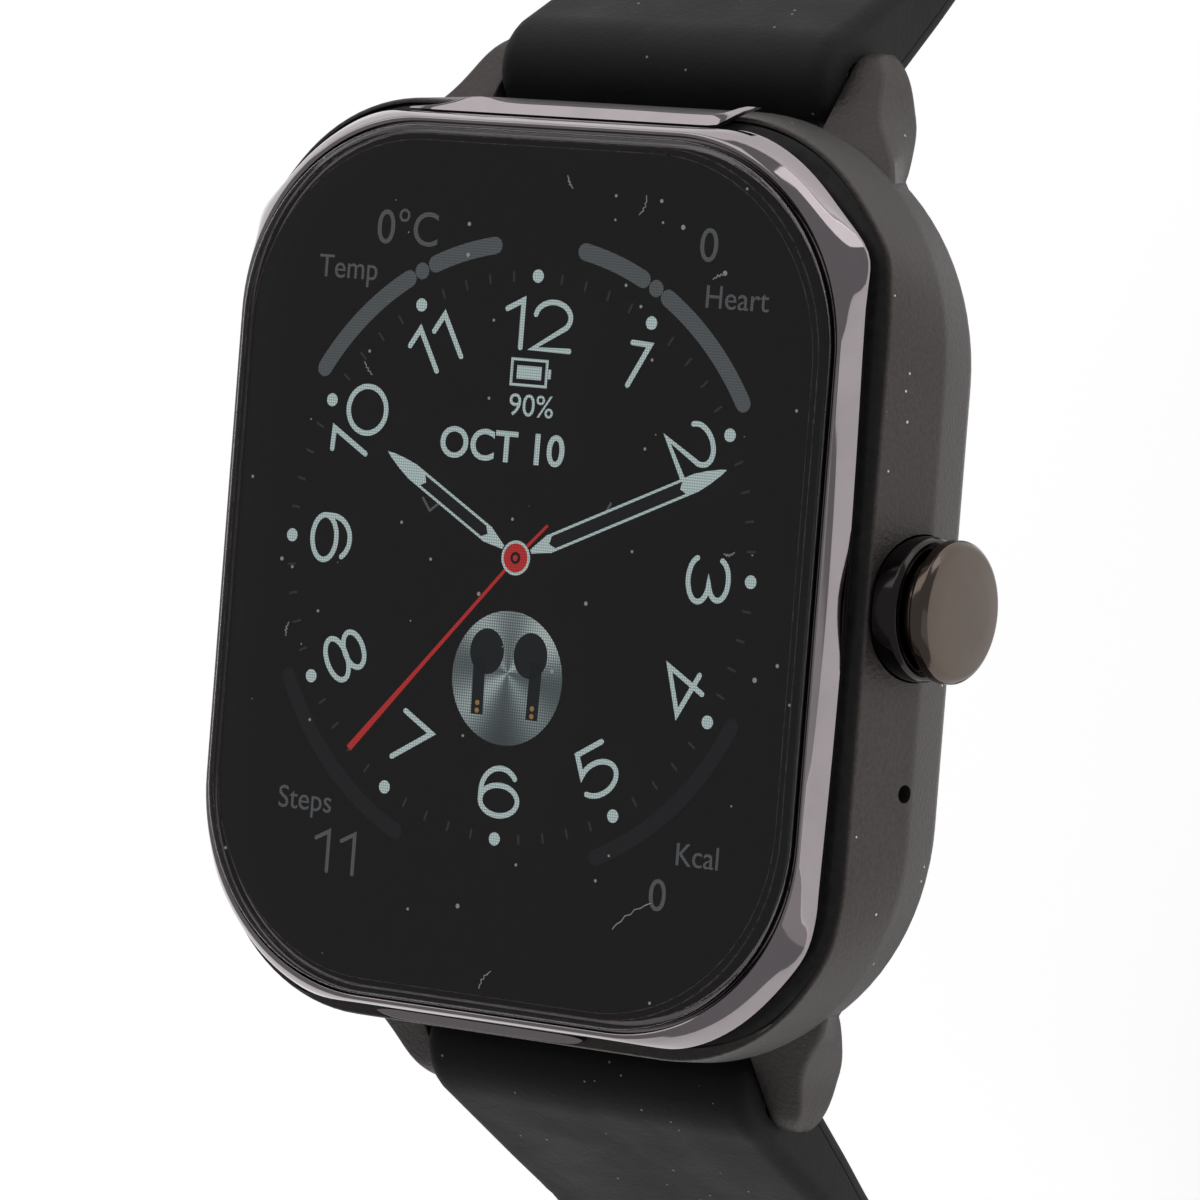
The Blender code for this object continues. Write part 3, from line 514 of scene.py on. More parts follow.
def words(name, body_text, x, y, size, mat_, stretch=1.0, weight=0.0, z=Z_PIC):
    """Small lettering from the built-in typeface, centred, as thin closed chips."""
    cu = bpy.data.curves.new(name + "_curve", "FONT")
    cu.body = body_text
    cu.size = size * MM
    cu.align_x, cu.align_y = "CENTER", "CENTER"
    cu.extrude = 0.006 * MM
    cu.offset = weight * MM
    cu.resolution_u = 5
    tmp = bpy.data.objects.new(name + "_tmp", cu)
    scene.collection.objects.link(tmp)
    graph = bpy.context.evaluated_depsgraph_get()
    me = bpy.data.meshes.new_from_object(tmp.evaluated_get(graph))
    me.name = name
    bpy.data.objects.remove(tmp)
    me.transform(Matrix.Translation((x * MM, y * MM, (z - 0.006) * MM)) @ Matrix.Diagonal((stretch, 1.0, 1.0, 1.0)))
    me.materials.clear()
    me.materials.append(mat_.m)
    obj = bpy.data.objects.new(name, me)
    scene.collection.objects.link(obj)
    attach(obj, "case")
    return obj


words("dial_temp_value", "0°C", -8.15, 16.40, 2.45, DIM, 1.0)
words("dial_temp_word", "Temp", -11.65, 14.28, 1.65, DIM, 0.96)
words("dial_heart_value", "0", 9.96, 16.62, 2.35, DIM, 1.0)
words("dial_heart_word", "Heart", 11.80, 14.17, 1.60, DIM, 1.0)
words("dial_steps_word", "Steps", -11.82, -12.50, 1.60, DIM, 1.0)
words("dial_kcal_word", "Kcal", 12.07, -12.83, 1.60, DIM, 0.96)
words("dial_kcal_value", "0", 9.93, -14.97, 2.25, DIM, 1.0)
words("dial_battery_value", "90%", 0.18, 8.16, 1.55, PALE, 1.06)
words("dial_date", "OCT 10", -1.40, 6.02, 2.15, PALE, 1.04, 0.035)
chips("dial_steps_value", DIM, lambda bm, z: numeral(bm, "11", -9.69, -14.90, 2.0, 1.0, 0, 0.2, z, gap=0.34))


def battery(bm, z):
    x0, x1, y0, y1 = -1.15, 0.95, 9.20, 10.46
    faces = ribbon(bm, [(x0, y0), (x1, y0), (x1, y1), (x0, y1)], 0.14, z, closed=True)
    for a, b, c, d in ((x0 + 0.32, x1 - 0.30, y0 + 0.30, y1 - 0.30), (x1 + 0.10, x1 + 0.27, 9.60, 10.06)):
        faces.append(bm.faces.new([bm.verts.new((u, v, z)) for u, v in ((a, c), (b, c), (b, d), (a, d))]))
    return faces


chips("dial_battery_icon", PALE, battery)


def hand(bm, z, tip, wide, tip_len, base_gap):
    """Baton hand: filled point, two thin rails, filled wedge at the centre."""
    t = Vector((tip[0] - DC[0], tip[1] - DC[1]))
    length = t.length
    d = t.normalized()
    n = Vector((-d.y, d.x))

    def p(s, o):
        q = Vector(DC) + d * s + n * o
        return (q.x, q.y, z)

    faces = []
    w = wide / 2
    end = length - tip_len
    for ring in (
        [(length, 0.0), (length - 0.35, 0.30 * w), (length - 1.1, 0.72 * w), (length - 0.75 * tip_len, w), (end, w), (end - 0.35, 0.0), (end, -w),
         (length - 0.75 * tip_len, -w), (length - 1.1, -0.72 * w), (length - 0.35, -0.30 * w)],
        [(base_gap, 0.10), (base_gap + 1.15, w), (base_gap + 1.55, w), (base_gap + 1.15, 0.0), (base_gap + 1.55, -w), (base_gap + 1.15, -w), (base_gap, -0.10)],
    ):
        faces.append(bm.faces.new([bm.verts.new(p(s, o)) for s, o in ring]))
    for side in (1, -1):
        o = side * (w - 0.065)
        a, b = p(base_gap + 1.1, o), p(end + 0.1, o)
        faces += ribbon(bm, [a[:2], b[:2]], 0.13, z, ends=False)
    return faces


chips("dial_hour_hand", PALE, lambda bm, z: hand(bm, z, (-8.32, 5.35), 0.86, 2.5, 0.95), z=Z_PIC + 0.015)
chips("dial_minute_hand", PALE, lambda bm, z: hand(bm, z, (12.03, 5.97), 0.90, 2.5, 0.95), z=Z_PIC + 0.03)


def hand_shadow(bm, z):
    faces = []
    for tip in ((-8.32, 5.35), (12.03, 5.97)):
        t = Vector((tip[0] - DC[0], tip[1] - DC[1]))
        a, b = Vector(DC) + t.normalized() * 1.9, Vector(tip) - t.normalized() * 2.2
        faces += ribbon(bm, [tuple(a), tuple(b)], 0.60, z, ends=False)
    return faces


chips("dial_hand_inlay", DARK, hand_shadow, z=Z_PIC + 0.008)


def brackets(bm, z):
    faces = []
    for cx, cy, turn in ((-5.45, 3.05, 38), (5.45, 3.30, -28)):
        a = math.radians(turn)
        for pts in ([(-0.30, 0.42), (-0.30, -0.34), (0.34, -0.34)], [(0.30, 0.42), (0.30, 0.02)]):
            faces += ribbon(bm, [(cx + x * math.cos(a) - y * math.sin(a), cy + x * math.sin(a) + y * math.cos(a)) for x, y in pts], 0.12, z)
    return faces


chips("dial_brackets", DIM, brackets, z=Z_PIC + 0.004)


def second(bm, z):
    tip, tail = (-9.32, -9.63), (1.77, 2.45)
    faces = ribbon(bm, [tail, DC], 0.16, z, widths=[0.14, 0.18], ends=False)
    mid = (DC[0] + (tip[0] - DC[0]) * 0.55, DC[1] + (tip[1] - DC[1]) * 0.55)
    faces += ribbon(bm, [DC, mid, tip], 0.2, z, widths=[0.16, 0.20, 0.34], ends=False)
    return faces


chips("dial_second_hand", RED, second, z=Z_PIC + 0.045)
chips("dial_centre_rim", PALE, lambda bm, z: disc(bm, *DC, 0.86, z, 32), z=Z_PIC + 0.05)
chips("dial_centre_red", RED, lambda bm, z: disc(bm, *DC, 0.72, z, 32), z=Z_PIC + 0.06)
chips("dial_centre_hub", DARK, lambda bm, z: disc(bm, *DC, 0.30, z, 24), z=Z_PIC + 0.07)
chips("dial_centre_pin", RED, lambda bm, z: disc(bm, *DC, 0.15, z, 18), z=Z_PIC + 0.08)

# ------------------------------------------------------------------ round icon: brushed disc with a plain pair of earbuds
IC, IR = (0.0, -5.25), 3.32


def make_brushed():
    m = Mat("ink_icon_disc")
    sep = m.node("ShaderNodeSeparateXYZ")
    m.link(m.coord, sep.inputs[0])
    dx = m.math("SUBTRACT", sep.outputs[0], IC[0] * MM)
    dy = m.math("SUBTRACT", sep.outputs[1], (IC[1] + 0.25) * MM)
    ang = m.math("ARCTAN2", dy, dx)
    fan = m.math("MULTIPLY", m.math("ADD", m.math("SINE", m.math("ADD", m.math("MULTIPLY", ang, 4.0), -1.2)), 1.0), 0.5)
    fan2 = m.math("MULTIPLY", m.math("ADD", m.math("SINE", m.math("MULTIPLY", ang, 2.0)), 1.0), 0.5)
    up = m.math("ADD", m.math("MULTIPLY", dy, 1.0 / (2 * IR * MM)), 0.5, clamp=True)
    lvl = m.math("ADD", m.math("MULTIPLY", fan, 0.42), m.math("ADD", m.math("MULTIPLY", fan2, 0.18), m.math("MULTIPLY", up, 0.40)))
    pitch = 0.137 * MM
    cells = m.math("MULTIPLY", *[m.math("MULTIPLY", m.math("ADD", m.math("SINE", m.math("MULTIPLY", sep.outputs[i], 2 * math.pi / pitch)), 1.0), 0.5) for i in (0, 1)])
    lvl = m.math("MULTIPLY", lvl, m.math("ADD", m.math("MULTIPLY", cells, 0.9), 0.65))
    m.set(color=(0.002, 0.002, 0.002), rough=0.35, spec=0.1, strength=1.0)
    m.set(emit=m.ramp(lvl, [(0.0, (0.022, 0.028, 0.030)), (0.35, (0.085, 0.105, 0.108)), (0.7, (0.26, 0.31, 0.31)), (1.0, (0.46, 0.52, 0.51))]))
    return m


chips("dial_icon_disc", make_brushed(), lambda bm, z: disc(bm, *IC, IR, z, 64))


def bud(bm, z, side):
    faces = []
    hx, hy = side * 1.32, IC[1] + 1.22
    faces += disc(bm, IC[0] + hx, hy, 1.02, z, 30, ry=1.14)
    faces += ribbon(bm, [(IC[0] + side * 1.72, hy - 0.3), (IC[0] + side * 1.66, hy - 3.15)], 0.72, z, ends=False)
    return faces


chips("dial_icon_buds", ink("ink_bud", (0.0045, 0.006, 0.0075), 0.2), lambda bm, z: bud(bm, z, 1) + bud(bm, z, -1), z=Z_PIC + 0.006)
chips(
    "dial_icon_bud_tips",
    AMBER,
    lambda bm, z: [f for s in (1, -1) for k in (0, 1) for f in disc(bm, IC[0] + s * 1.66, IC[1] - 1.35 - 0.38 * k, 0.13, z, 12)],
    z=Z_PIC + 0.012,
)


# ------------------------------------------------------------------ outlines
def outline(hx, hy, r, z, n=22, p=2.0, bow=0.0, vertex=(0.0, 0.0), k=9):
    """Rounded rectangle like the one of the solid, with more points."""
    arcs = []
    for q, (sx, sy) in enumerate(((1, 1), (-1, 1), (-1, -1), (1, -1))):
        pts = []
        for i in range(n + 1):
            a = math.radians(90.0 * (q + i / n))
            c, s = math.cos(a), math.sin(a)
            ex = math.copysign(abs(c) ** (2.0 / p), c) if abs(c) > 1e-9 else 0.0
            ey = math.copysign(abs(s) ** (2.0 / p), s) if abs(s) > 1e-9 else 0.0
            pts.append((sx * (hx - r) + r * ex, sy * (hy - r) + r * ey))
        arcs.append(pts)
    out = []
    for q in range(4):
        out += arcs[q]
        (x0, y0), (x1, y1) = arcs[q][-1], arcs[(q + 1) % 4][0]
        for j in range(1, k + 1):
            t = j / (k + 1)
            out.append((x0 + (x1 - x0) * t, y0 + (y1 - y0) * t))
    res = []
    for x, y in out:
        side = math.copysign(1.0, x)
        if abs(x) > hx - 0.05:
            x += side * bow * max(0.0, 1.0 - (y / (hy - r)) ** 2)
        size = vertex[0] if y > 0 else vertex[1]
        if size and abs(x) > hx - r:
            x += side * size * math.exp(-(((abs(y) - 16.9) / 1.5) ** 2))
        res.append((x, y, z))
    return res


# ------------------------------------------------------------------ glass over the picture
def glass_body():
    """Clear top and rounded edge (slot 0), a see-through underside (slot 1) and a blackened wall (slot 2)."""
    rings = [outline(17.68, 21.68, 10.15, 11.30), outline(17.7, 21.7, 10.2, 11.66)]
    for i in range(1, 9):
        a = math.radians(90 * i / 8)
        inset = 0.44 * (1 - math.cos(a))
        rings.append(outline(17.7 - inset, 21.7 - inset, 10.2 - 0.3 * inset, 11.66 + 0.34 * math.sin(a)))
    bm = loft(rings)
    obj = finish_mesh("glass_clear", bm, [GLASS, THROUGH, LIP], "case", 24)
    for f in obj.data.polygons:
        f.material_index = 1 if f.normal.z < -0.5 else (2 if abs(f.normal.z) < 0.25 else 0)
    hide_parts("cover_glass")
    return obj


GLASS = Mat("glass_top")
nt = GLASS.nt
nt.nodes.remove(GLASS.b)
out_node = next(n for n in nt.nodes if n.type == "OUTPUT_MATERIAL")
clear = GLASS.node("ShaderNodeBsdfTransparent")
clear.inputs[0].default_value = (0.93, 0.93, 0.935, 1.0)
gloss = GLASS.node("ShaderNodeBsdfGlossy")
gloss.inputs["Color"].default_value = (1, 1, 1, 1)
smudge = GLASS.noise(7.0, 4.0, 0.6, distort=1.0)
GLASS.link(GLASS.ramp(smudge, [(0.4, 0.035), (0.75, 0.09)]), gloss.inputs["Roughness"])
fres = GLASS.node("ShaderNodeFresnel")
fres.inputs["IOR"].default_value = 1.5
mix1 = GLASS.node("ShaderNodeMixShader")
GLASS.link(fres.outputs[0], mix1.inputs[0])
GLASS.link(clear.outputs[0], mix1.inputs[1])
GLASS.link(gloss.outputs[0], mix1.inputs[2])
lint = GLASS.node("ShaderNodeBsdfDiffuse")
lint.inputs["Color"].default_value = (0.62, 0.60, 0.56, 1)
spots = GLASS.math("MAXIMUM", GLASS.specks(0.95, 0.085, 0.10), GLASS.math("MAXIMUM", GLASS.specks(2.3, 0.045, 0.45), GLASS.specks(3.6, 0.035, 0.8)))
mix2 = GLASS.node("ShaderNodeMixShader")
GLASS.link(GLASS.math("MULTIPLY", spots, 0.75), mix2.inputs[0])
GLASS.link(mix1.outputs[0], mix2.inputs[1])
GLASS.link(lint.outputs[0], mix2.inputs[2])
GLASS.link(mix2.outputs[0], out_node.inputs["Surface"])

THROUGH = Mat("glass_underside")
THROUGH.nt.nodes.remove(THROUGH.b)
tr = THROUGH.node("ShaderNodeBsdfTransparent")
THROUGH.link(tr.outputs[0], next(n for n in THROUGH.nt.nodes if n.type == "OUTPUT_MATERIAL").inputs["Surface"])
glass_body()

PANEL = Mat("display_black")
PANEL.set(color=PANEL.ramp(PANEL.noise(1.0), [(0.3, (0.0030, 0.0028, 0.0034)), (0.7, (0.0042, 0.0040, 0.0046))]), rough=0.5, spec=0.15)
finish_mesh("display_face", loft([outline(17.3, 21.3, 10.0, 11.255, n=14, k=1), outline(17.3, 21.3, 10.0, 11.285, n=14, k=1)]), PANEL, "case")


# ------------------------------------------------------------------ smoother bodies in place of the faceted solids
def interp(x, xs, ys):
    if x <= xs[0]:
        return ys[0]
    for a, b, u, v in zip(xs, xs[1:], ys, ys[1:]):
        if x <= b:
            return u + (v - u) * (x - a) / (b - a)
    return ys[-1]


def smooth_interp(x, xs, ys):
    """Cubic through the points (Catmull-Rom), flat outside them."""
    if x <= xs[0]:
        return ys[0]
    if x >= xs[-1]:
        return ys[-1]
    i = next(k for k in range(len(xs) - 1) if x <= xs[k + 1])

    def slope(k):
        if k == 0:
            return (ys[1] - ys[0]) / (xs[1] - xs[0])
        if k == len(xs) - 1:
            return (ys[-1] - ys[-2]) / (xs[-1] - xs[-2])
        return (ys[k + 1] - ys[k - 1]) / (xs[k + 1] - xs[k - 1])

    h = xs[i + 1] - xs[i]
    t = (x - xs[i]) / h
    a, b, m0, m1 = ys[i], ys[i + 1], slope(i) * h, slope(i + 1) * h
    return (2 * t**3 - 3 * t**2 + 1) * a + (t**3 - 2 * t**2 + t) * m0 + (-2 * t**3 + 3 * t**2) * b + (t**3 - t**2) * m1


def soften(profile, fillets, steps=5):
    """Replace corners of a list of parameter tuples by short curves. fillets: index to radius in mm along the chain."""
    out = []
    n = len(profile)
    for i, p in enumerate(profile):
        r = fillets.get(i, 0.0)
        if not r:
            out.append(p)
            continue
        a, b = profile[(i - 1) % n], profile[(i + 1) % n]

        def span(u, v):
            return math.sqrt((u[0] - v[0]) ** 2 + (u[3] - v[3]) ** 2) or 1e-9

        ta, tb = min(0.48, r / span(p, a)), min(0.48, r / span(p, b))
        pa = [u + (v - u) * ta for u, v in zip(p, a)]
        pb = [u + (v - u) * tb for u, v in zip(p, b)]
        for k in range(steps + 1):
            t = k / steps
            out.append(tuple((1 - t) ** 2 * x + 2 * t * (1 - t) * y + t * t * z for x, y, z in zip(pa, p, pb)))
    return out


def rings_of(profile, n=22, k=9):
    """profile rows: hx, hy, r, z, p, bow, vertex top, vertex bottom."""
    return [outline(q[0], q[1], q[2], q[3], n=n, p=q[4], bow=q[5], vertex=(q[6], q[7]), k=k) for q in profile]


def plain(*rows):
    """Fill the short rows (hx, hy, r, z[, vertex top, vertex bottom]) up to the full set."""
    return [(q[0], q[1], q[2], q[3], 2.0, 0.0, *(q[4:6] if len(q) > 4 else (0.0, 0.0))) for q in rows]


def turned(profile, count, x_axis=True, at=(0.0, 0.0), closed=False):
    rings = []
    for r, h in profile:
        ring = [(r * math.cos(2 * math.pi * i / count), r * math.sin(2 * math.pi * i / count)) for i in range(count)]
        rings.append([(h, u + at[0], v + at[1]) if x_axis else (u + at[0], v + at[1], h) for u, v in ring])
    return loft(rings, closed)


def brick(x0, x1, y0, y1, z0, z1, r=0.0, n=6):
    if not r:
        rings = [[(x0, y0, z), (x1, y0, z), (x1, y1, z), (x0, y1, z)] for z in (z0, z1)]
    else:
        cx, cy = (x0 + x1) / 2, (y0 + y1) / 2
        rings = [[(x + cx, y + cy, z) for x, y, _ in outline((x1 - x0) / 2, (y1 - y0) / 2, r, 0, n=n, k=0)] for z in (z0, z1)]
    return loft(rings)


def raw(name, bm):
    """Helper object for a Boolean, in millimetres turned to metres."""
    return finish_mesh(name, bm, BLAST, None, smooth=False)


def carve(obj, tools):
    """Apply Booleans one after another; tools are (object, operation), and each is removed afterwards."""
    for tool, op in tools:
        mod = obj.modifiers.new("op", "BOOLEAN")
        mod.operation = op
        mod.solver = "EXACT"
        mod.object = tool
        graph = bpy.context.evaluated_depsgraph_get()
        new = bpy.data.meshes.new_from_object(obj.evaluated_get(graph))
        obj.modifiers.clear()
        old = obj.data
        obj.data = new
        new.name = old.name
        bpy.data.meshes.remove(old)
        bpy.data.objects.remove(tool)
    return obj


def shade(obj, angle=30.0):
    obj.data.shade_smooth()
    obj.data.set_sharp_from_angle(angle=math.radians(angle))


# ---- matte case, with the lugs joined on
def lug_section(y):
    spots = (19.6, 20.4, 21.0, 21.6, 22.3, 23.1, 24.0, 25.0, 26.2, 27.0)
    ridge = smooth_interp(y, spots, (16.0, 15.75, 15.4, 15.0, 14.35, 13.6, 12.95, 12.5, 12.1, 11.9))
    foot = smooth_interp(y, spots, (15.2, 14.75, 14.35, 13.9, 13.45, 13.1, 12.85, 12.6, 12.2, 12.0))
    front = 2.2 - 0.74 * (y - 23.5)
    back = 0.9 - 3.2 * math.sin(min(1.0, max(0.0, (y - 20.6) / 3.2)) * math.pi / 2)
    t = min(1.0, max(0.0, (y - 25.9) / 1.06))
    keep = math.sqrt(max(0.0, 1.0 - t**2.6))
    mid, half = (front + back) / 2, (front - back) / 2 * keep
    front, back = mid + half, mid - half
    wide = max(0.0, 1.0 - min(1.0, max(0.0, (y - 25.3) / 1.75)) ** 2.2) ** 0.6
    ridge = 10.8 + (ridge - 10.8) * wide
    foot = 10.8 + (foot - 10.8) * (0.35 + 0.65 * wide)
    lip = 0.32 * keep
    pts = [(10.2, front - 0.12 * keep), (10.26, front - 0.03 * keep), (10.4, front)]
    pts += [(10.4 + (ridge - 0.3 - 10.4) * i / 4, front - 0.005 * i) for i in range(1, 5)]
    for i in range(1, 7):
        a = math.pi / 2 * i / 7
        pts.append((ridge - 0.3 + 0.3 * math.sin(a), front - 0.02 - 0.7 * (0.08 + lip) * (1 - math.cos(a))))
    pts.append((ridge, front - 0.05 - 0.7 * (0.08 + lip)))
    pts.append(((ridge + foot) / 2 - 0.05, (front + back) / 2 + 0.15))
    for i in range(0, 7):
        a = math.pi / 2 * i / 6
        pts.append((foot - 0.65 * (1 - math.cos(a)), back + 0.08 + (0.67 * keep + 0.0) * (1 - math.sin(a))))
    pts += [(10.2 + (foot - 0.65 - 10.2) * i / 3, back) for i in (2, 1)] + [(10.2, back)]
    return pts


def lug_bm(sx, sy):
    stations = [19.4 + 0.4 * i for i in range(16)] + [25.7, 25.95, 26.2, 26.4, 26.55, 26.68, 26.79, 26.88, 26.93, 26.955]
    return loft([[(sx * x, sy * y, z) for x, z in lug_section(y)] for y in stations])


def build_case():
    outer = soften(
        plain((18.6, 22.1, 11.4, 0.8), (18.9, 22.4, 11.6, 0.8), (19.4, 23.0, 12.0, 1.7), (19.95, 23.5, 12.0, 4.9),
              (19.25, 23.1, 9.9, 8.98, 0.3, 0.1), (19.16, 23.0, 9.8, 9.1, 0.3, 0.1), (19.02, 22.86, 9.66, 9.1, 0.3, 0.1),
              (19.02, 22.86, 9.66, 8.4, 0.3, 0.1), (17.6, 21.6, 10.5, 8.4), (17.6, 21.6, 10.5, 3.2), (15.6, 19.6, 13.6, 3.2),
              (15.6, 19.6, 13.6, 2.1), (16.95, 20.95, 9.75, 2.1), (16.95, 20.95, 9.75, 0.8)),
        {1: 0.12, 2: 0.3, 3: 0.28, 4: 0.09, 5: 0.05},
        4,
    )
    obj = finish_mesh("case_body", loft(rings_of(outer), closed=True), BLAST, None, smooth=False)
    tools = [(raw("t", lug_bm(sx, sy)), "UNION") for sx, sy in ((1, 1), (-1, 1), (-1, -1), (1, -1))]
    # the cavity again, because a lug's root reaches into it
    cavity = rings_of(plain((16.95, 20.95, 9.75, -2.0), (16.95, 20.95, 9.75, 2.1), (15.6, 19.6, 13.6, 2.1), (15.6, 19.6, 13.6, 3.2),
                            (17.6, 21.6, 10.5, 3.2), (17.6, 21.6, 10.5, 8.4), (19.02, 22.86, 9.66, 8.4, 0.3, 0.1), (19.02, 22.86, 9.66, 12.0, 0.3, 0.1)))
    tools.append((raw("t", loft(cavity)), "DIFFERENCE"))
    tools.append((raw("t", turned([(1.5, 16.5), (1.5, 19.25), (3.62, 19.25), (3.62, 24.0)], 96, True, (0.0, 5.4))), "DIFFERENCE"))
    for y in (-4.2, 0.0, 4.2):
        slot = [[(x, y + u, 4.5 + v) for u, v, _ in outline(1.4, 0.4, 0.39, 0, n=8, k=0)] for x in (-21.5, -17.0)]
        tools.append((raw("t", loft(slot)), "DIFFERENCE"))
    tools.append((raw("t", turned([(0.45, 17.0), (0.45, 21.5)], 24, True, (-9.0, 5.4))), "DIFFERENCE"))
    for sx, sy in ((1, 1), (-1, 1), (-1, -1), (1, -1)):
        x0, x1 = sorted((sx * 9.2, sx * 11.4))
        tools.append((raw("t", turned([(0.66, x0), (0.66, x1)], 24, True, (sy * 25.4, -0.6))), "DIFFERENCE"))
    for x, y in ((12.4, 16.4), (-12.4, 16.4), (-12.4, -16.4), (12.4, -16.4)):
        tools.append((raw("t", turned([(0.56, 1.0), (0.56, 2.95)], 16, False, (x, y))), "DIFFERENCE"))
    carve(obj, tools)
    shade(obj, 26)
    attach(obj, "case")
    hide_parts("mid_case")
    return obj


build_case()

# ---- gasket and bezel
gasket = finish_mesh(
    "bezel_gasket_ring",
    loft(rings_of(soften(plain((17.75, 21.75, 10.2, 8.46), (18.94, 22.78, 9.6, 8.46, 0.3, 0.1), (18.94, 22.78, 9.6, 8.9, 0.3, 0.1), (17.75, 21.75, 10.2, 9.02)),
                         {2: 0.1, 3: 0.1}, 3), n=18, k=5), closed=True),
    GROOVE, "case", 30)
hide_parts("bezel_gasket")

bezel_rows = [
    (16.7, 20.7, 9.4, 9.1, 2.0, 0.0, 0.0, 0.0), (17.9, 21.9, 9.2, 9.1, 2.0, 0.0, 0.0, 0.0), (18.25, 22.2, 8.4, 9.5, 1.75, 0.2, 0.5, 0.2),
    (18.38, 22.4, 8.0, 10.0, 1.7, 0.22, 0.62, 0.22), (18.33, 22.38, 8.4, 10.35, 1.75, 0.2, 0.5, 0.18), (18.2, 22.27, 9.4, 11.05, 1.9, 0.12, 0.2, 0.05),
    (18.05, 22.1, 10.3, 11.48, 2.0, 0.0, 0.0, 0.0), (17.96, 22.01, 10.25, 11.55, 2.0, 0.0, 0.0, 0.0), (17.82, 21.84, 10.2, 11.5, 2.0, 0.0, 0.0, 0.0),
    (17.8, 21.8, 10.2, 11.2, 2.0, 0.0, 0.0, 0.0), (16.7, 20.7, 9.4, 11.2, 2.0, 0.0, 0.0, 0.0),
]
bezel_rows = soften(bezel_rows, {2: 0.2, 3: 0.14, 4: 0.3, 5: 0.35, 6: 0.07, 7: 0.05, 8: 0.04}, 5)
bezel = finish_mesh("bezel_polished", loft(rings_of(bezel_rows, n=28, k=11), closed=True), MIRROR, "case", 32)
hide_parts("bezel")

# ---- polished plates at 12 and 6 o'clock, sloping down outwards
def plate(name, node, outer, inner, sy, drop, z_in=9.6):
    m = 40
    xs_o = [p[0] for p in outer]
    ys_o = [p[1] for p in outer]
    rows = []
    for i in range(m + 1):
        u = i / m
        xo = xs_o[0] + (xs_o[-1] - xs_o[0]) * u
        yo = smooth_interp(xo, xs_o, ys_o)
        xi = inner[0][0] + (inner[-1][0] - inner[0][0]) * u
        yi = interp(xi, [p[0] for p in inner], [p[1] for p in inner])
        rows.append(((xi, yi), (xo, yo)))
    bm = bmesh.new()
    ring_list = []
    for (xi, yi), (xo, yo) in rows:
        d = yo - yi
        e = min(0.045, 0.3 * max(d, 0.02))
        slope = drop * min(1.0, max(0.12, d / 0.6))
        ring_list.append([
            (xi, sy * yi, 9.16), (xi, sy * yi, z_in - e), (xi, sy * (yi + e), z_in),
            (xi + (xo - xi) * 0.5, sy * (yi + 0.5 * d), z_in - 0.5 * slope),
            (xo, sy * (yo - e), z_in - slope), (xo, sy * yo, z_in - slope - e), (xo, sy * yo, 8.96 if yo > 23.02 else 9.16),
        ])
    loft(ring_list, bm=bm)
    obj = finish_mesh(name, bm, MIRROR, "case", 24)
    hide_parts(node)
    return obj


plate("plate_12", "bezel_tab_12",
      [(-9.9, 22.62), (-8.1, 22.84), (-6.9, 23.19), (-6.0, 23.33), (-5.2, 23.27), (-4.4, 23.12), (-1.0, 23.1), (3.0, 23.1), (7.3, 23.08), (8.6, 23.14), (9.65, 23.43), (10.3, 23.56), (10.8, 23.55)],
      [(-9.9, 22.5), (-8.1, 22.48), (8.0, 22.48), (8.6, 22.5), (9.35, 22.85), (10.0, 23.2), (10.75, 23.45)], 1, 0.34)
plate("plate_6", "bezel_tab_6",
      [(-7.6, 22.68), (-7.2, 22.84), (-6.4, 22.95), (-3.0, 22.98), (0.0, 22.98), (3.6, 22.95), (4.6, 22.86), (5.0, 22.68)],
      [(-7.6, 22.6), (-7.2, 22.5), (-6.4, 22.47), (0.0, 22.47), (3.6, 22.47), (4.6, 22.5), (5.0, 22.6)], -1, 0.22)


# ---- crown: ring in the case wall and the turning cap
def fillet_line(pts, radii, steps=4, closed=False):
    out = []
    n = len(pts)
    for i, p in enumerate(pts):
        r = radii.get(i, 0.0)
        if not r or (not closed and i in (0, n - 1)):
            out.append(p)
            continue
        a, b = Vector(pts[(i - 1) % n]), Vector(pts[(i + 1) % n])
        q = Vector(p)
        pa = q + (a - q).normalized() * min(r, 0.48 * (a - q).length)
        pb = q + (b - q).normalized() * min(r, 0.48 * (b - q).length)
        for k in range(steps + 1):
            t = k / steps
            w = pa * (1 - t) ** 2 + q * 2 * t * (1 - t) + pb * t * t
            out.append((w.x, w.y))
    return out


collar = fillet_line([(1.5, 19.32), (3.45, 19.32), (3.55, 19.42), (3.55, 20.45), (3.4, 20.7), (3.12, 20.7), (3.12, 19.72), (1.5, 19.72)], {3: 0.1, 4: 0.08, 5: 0.04}, 4, True)
# the ring takes the darkened copy of the bezel mirror, painted shade
obj = finish_mesh("crown_ring", turned(collar, 96, True, (0.0, 5.4), closed=True), COLLAR_PAINTED_SHADE, "case", 30)
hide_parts("crown_collar")
cap = [(2.92, 20.4), (2.92, 21.3), (3.3, 21.36), (3.5, 21.5), (3.5, 22.05), (3.2, 22.38), (2.2, 22.47), (0.9, 22.5), (0.05, 22.505)]
cap = [(0.05, 20.4)] + fillet_line(cap, {1: 0.05, 2: 0.12, 3: 0.1, 4: 0.14, 5: 0.18, 6: 0.3, 7: 0.3}, 4)
obj = finish_mesh("crown_cap_turned", turned(cap, 96, True, (0.0, 5.4)), CROWNM, "crown", 34)
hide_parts("crown_cap")


# ---- strap
BAR_Y, BAR_Z, STRAP_H = 25.4, -0.6, 1.2
A0, STRAIGHT, BEND_R = math.radians(54.0), 11.4, 55.0
S_VERT = STRAIGHT + BEND_R * math.radians(36.0)
S_BUCKLE, S_CURL, CURL_R = 77.0, 73.0, 15.0
S_END = S_CURL + CURL_R * math.pi / 2 + 10.0


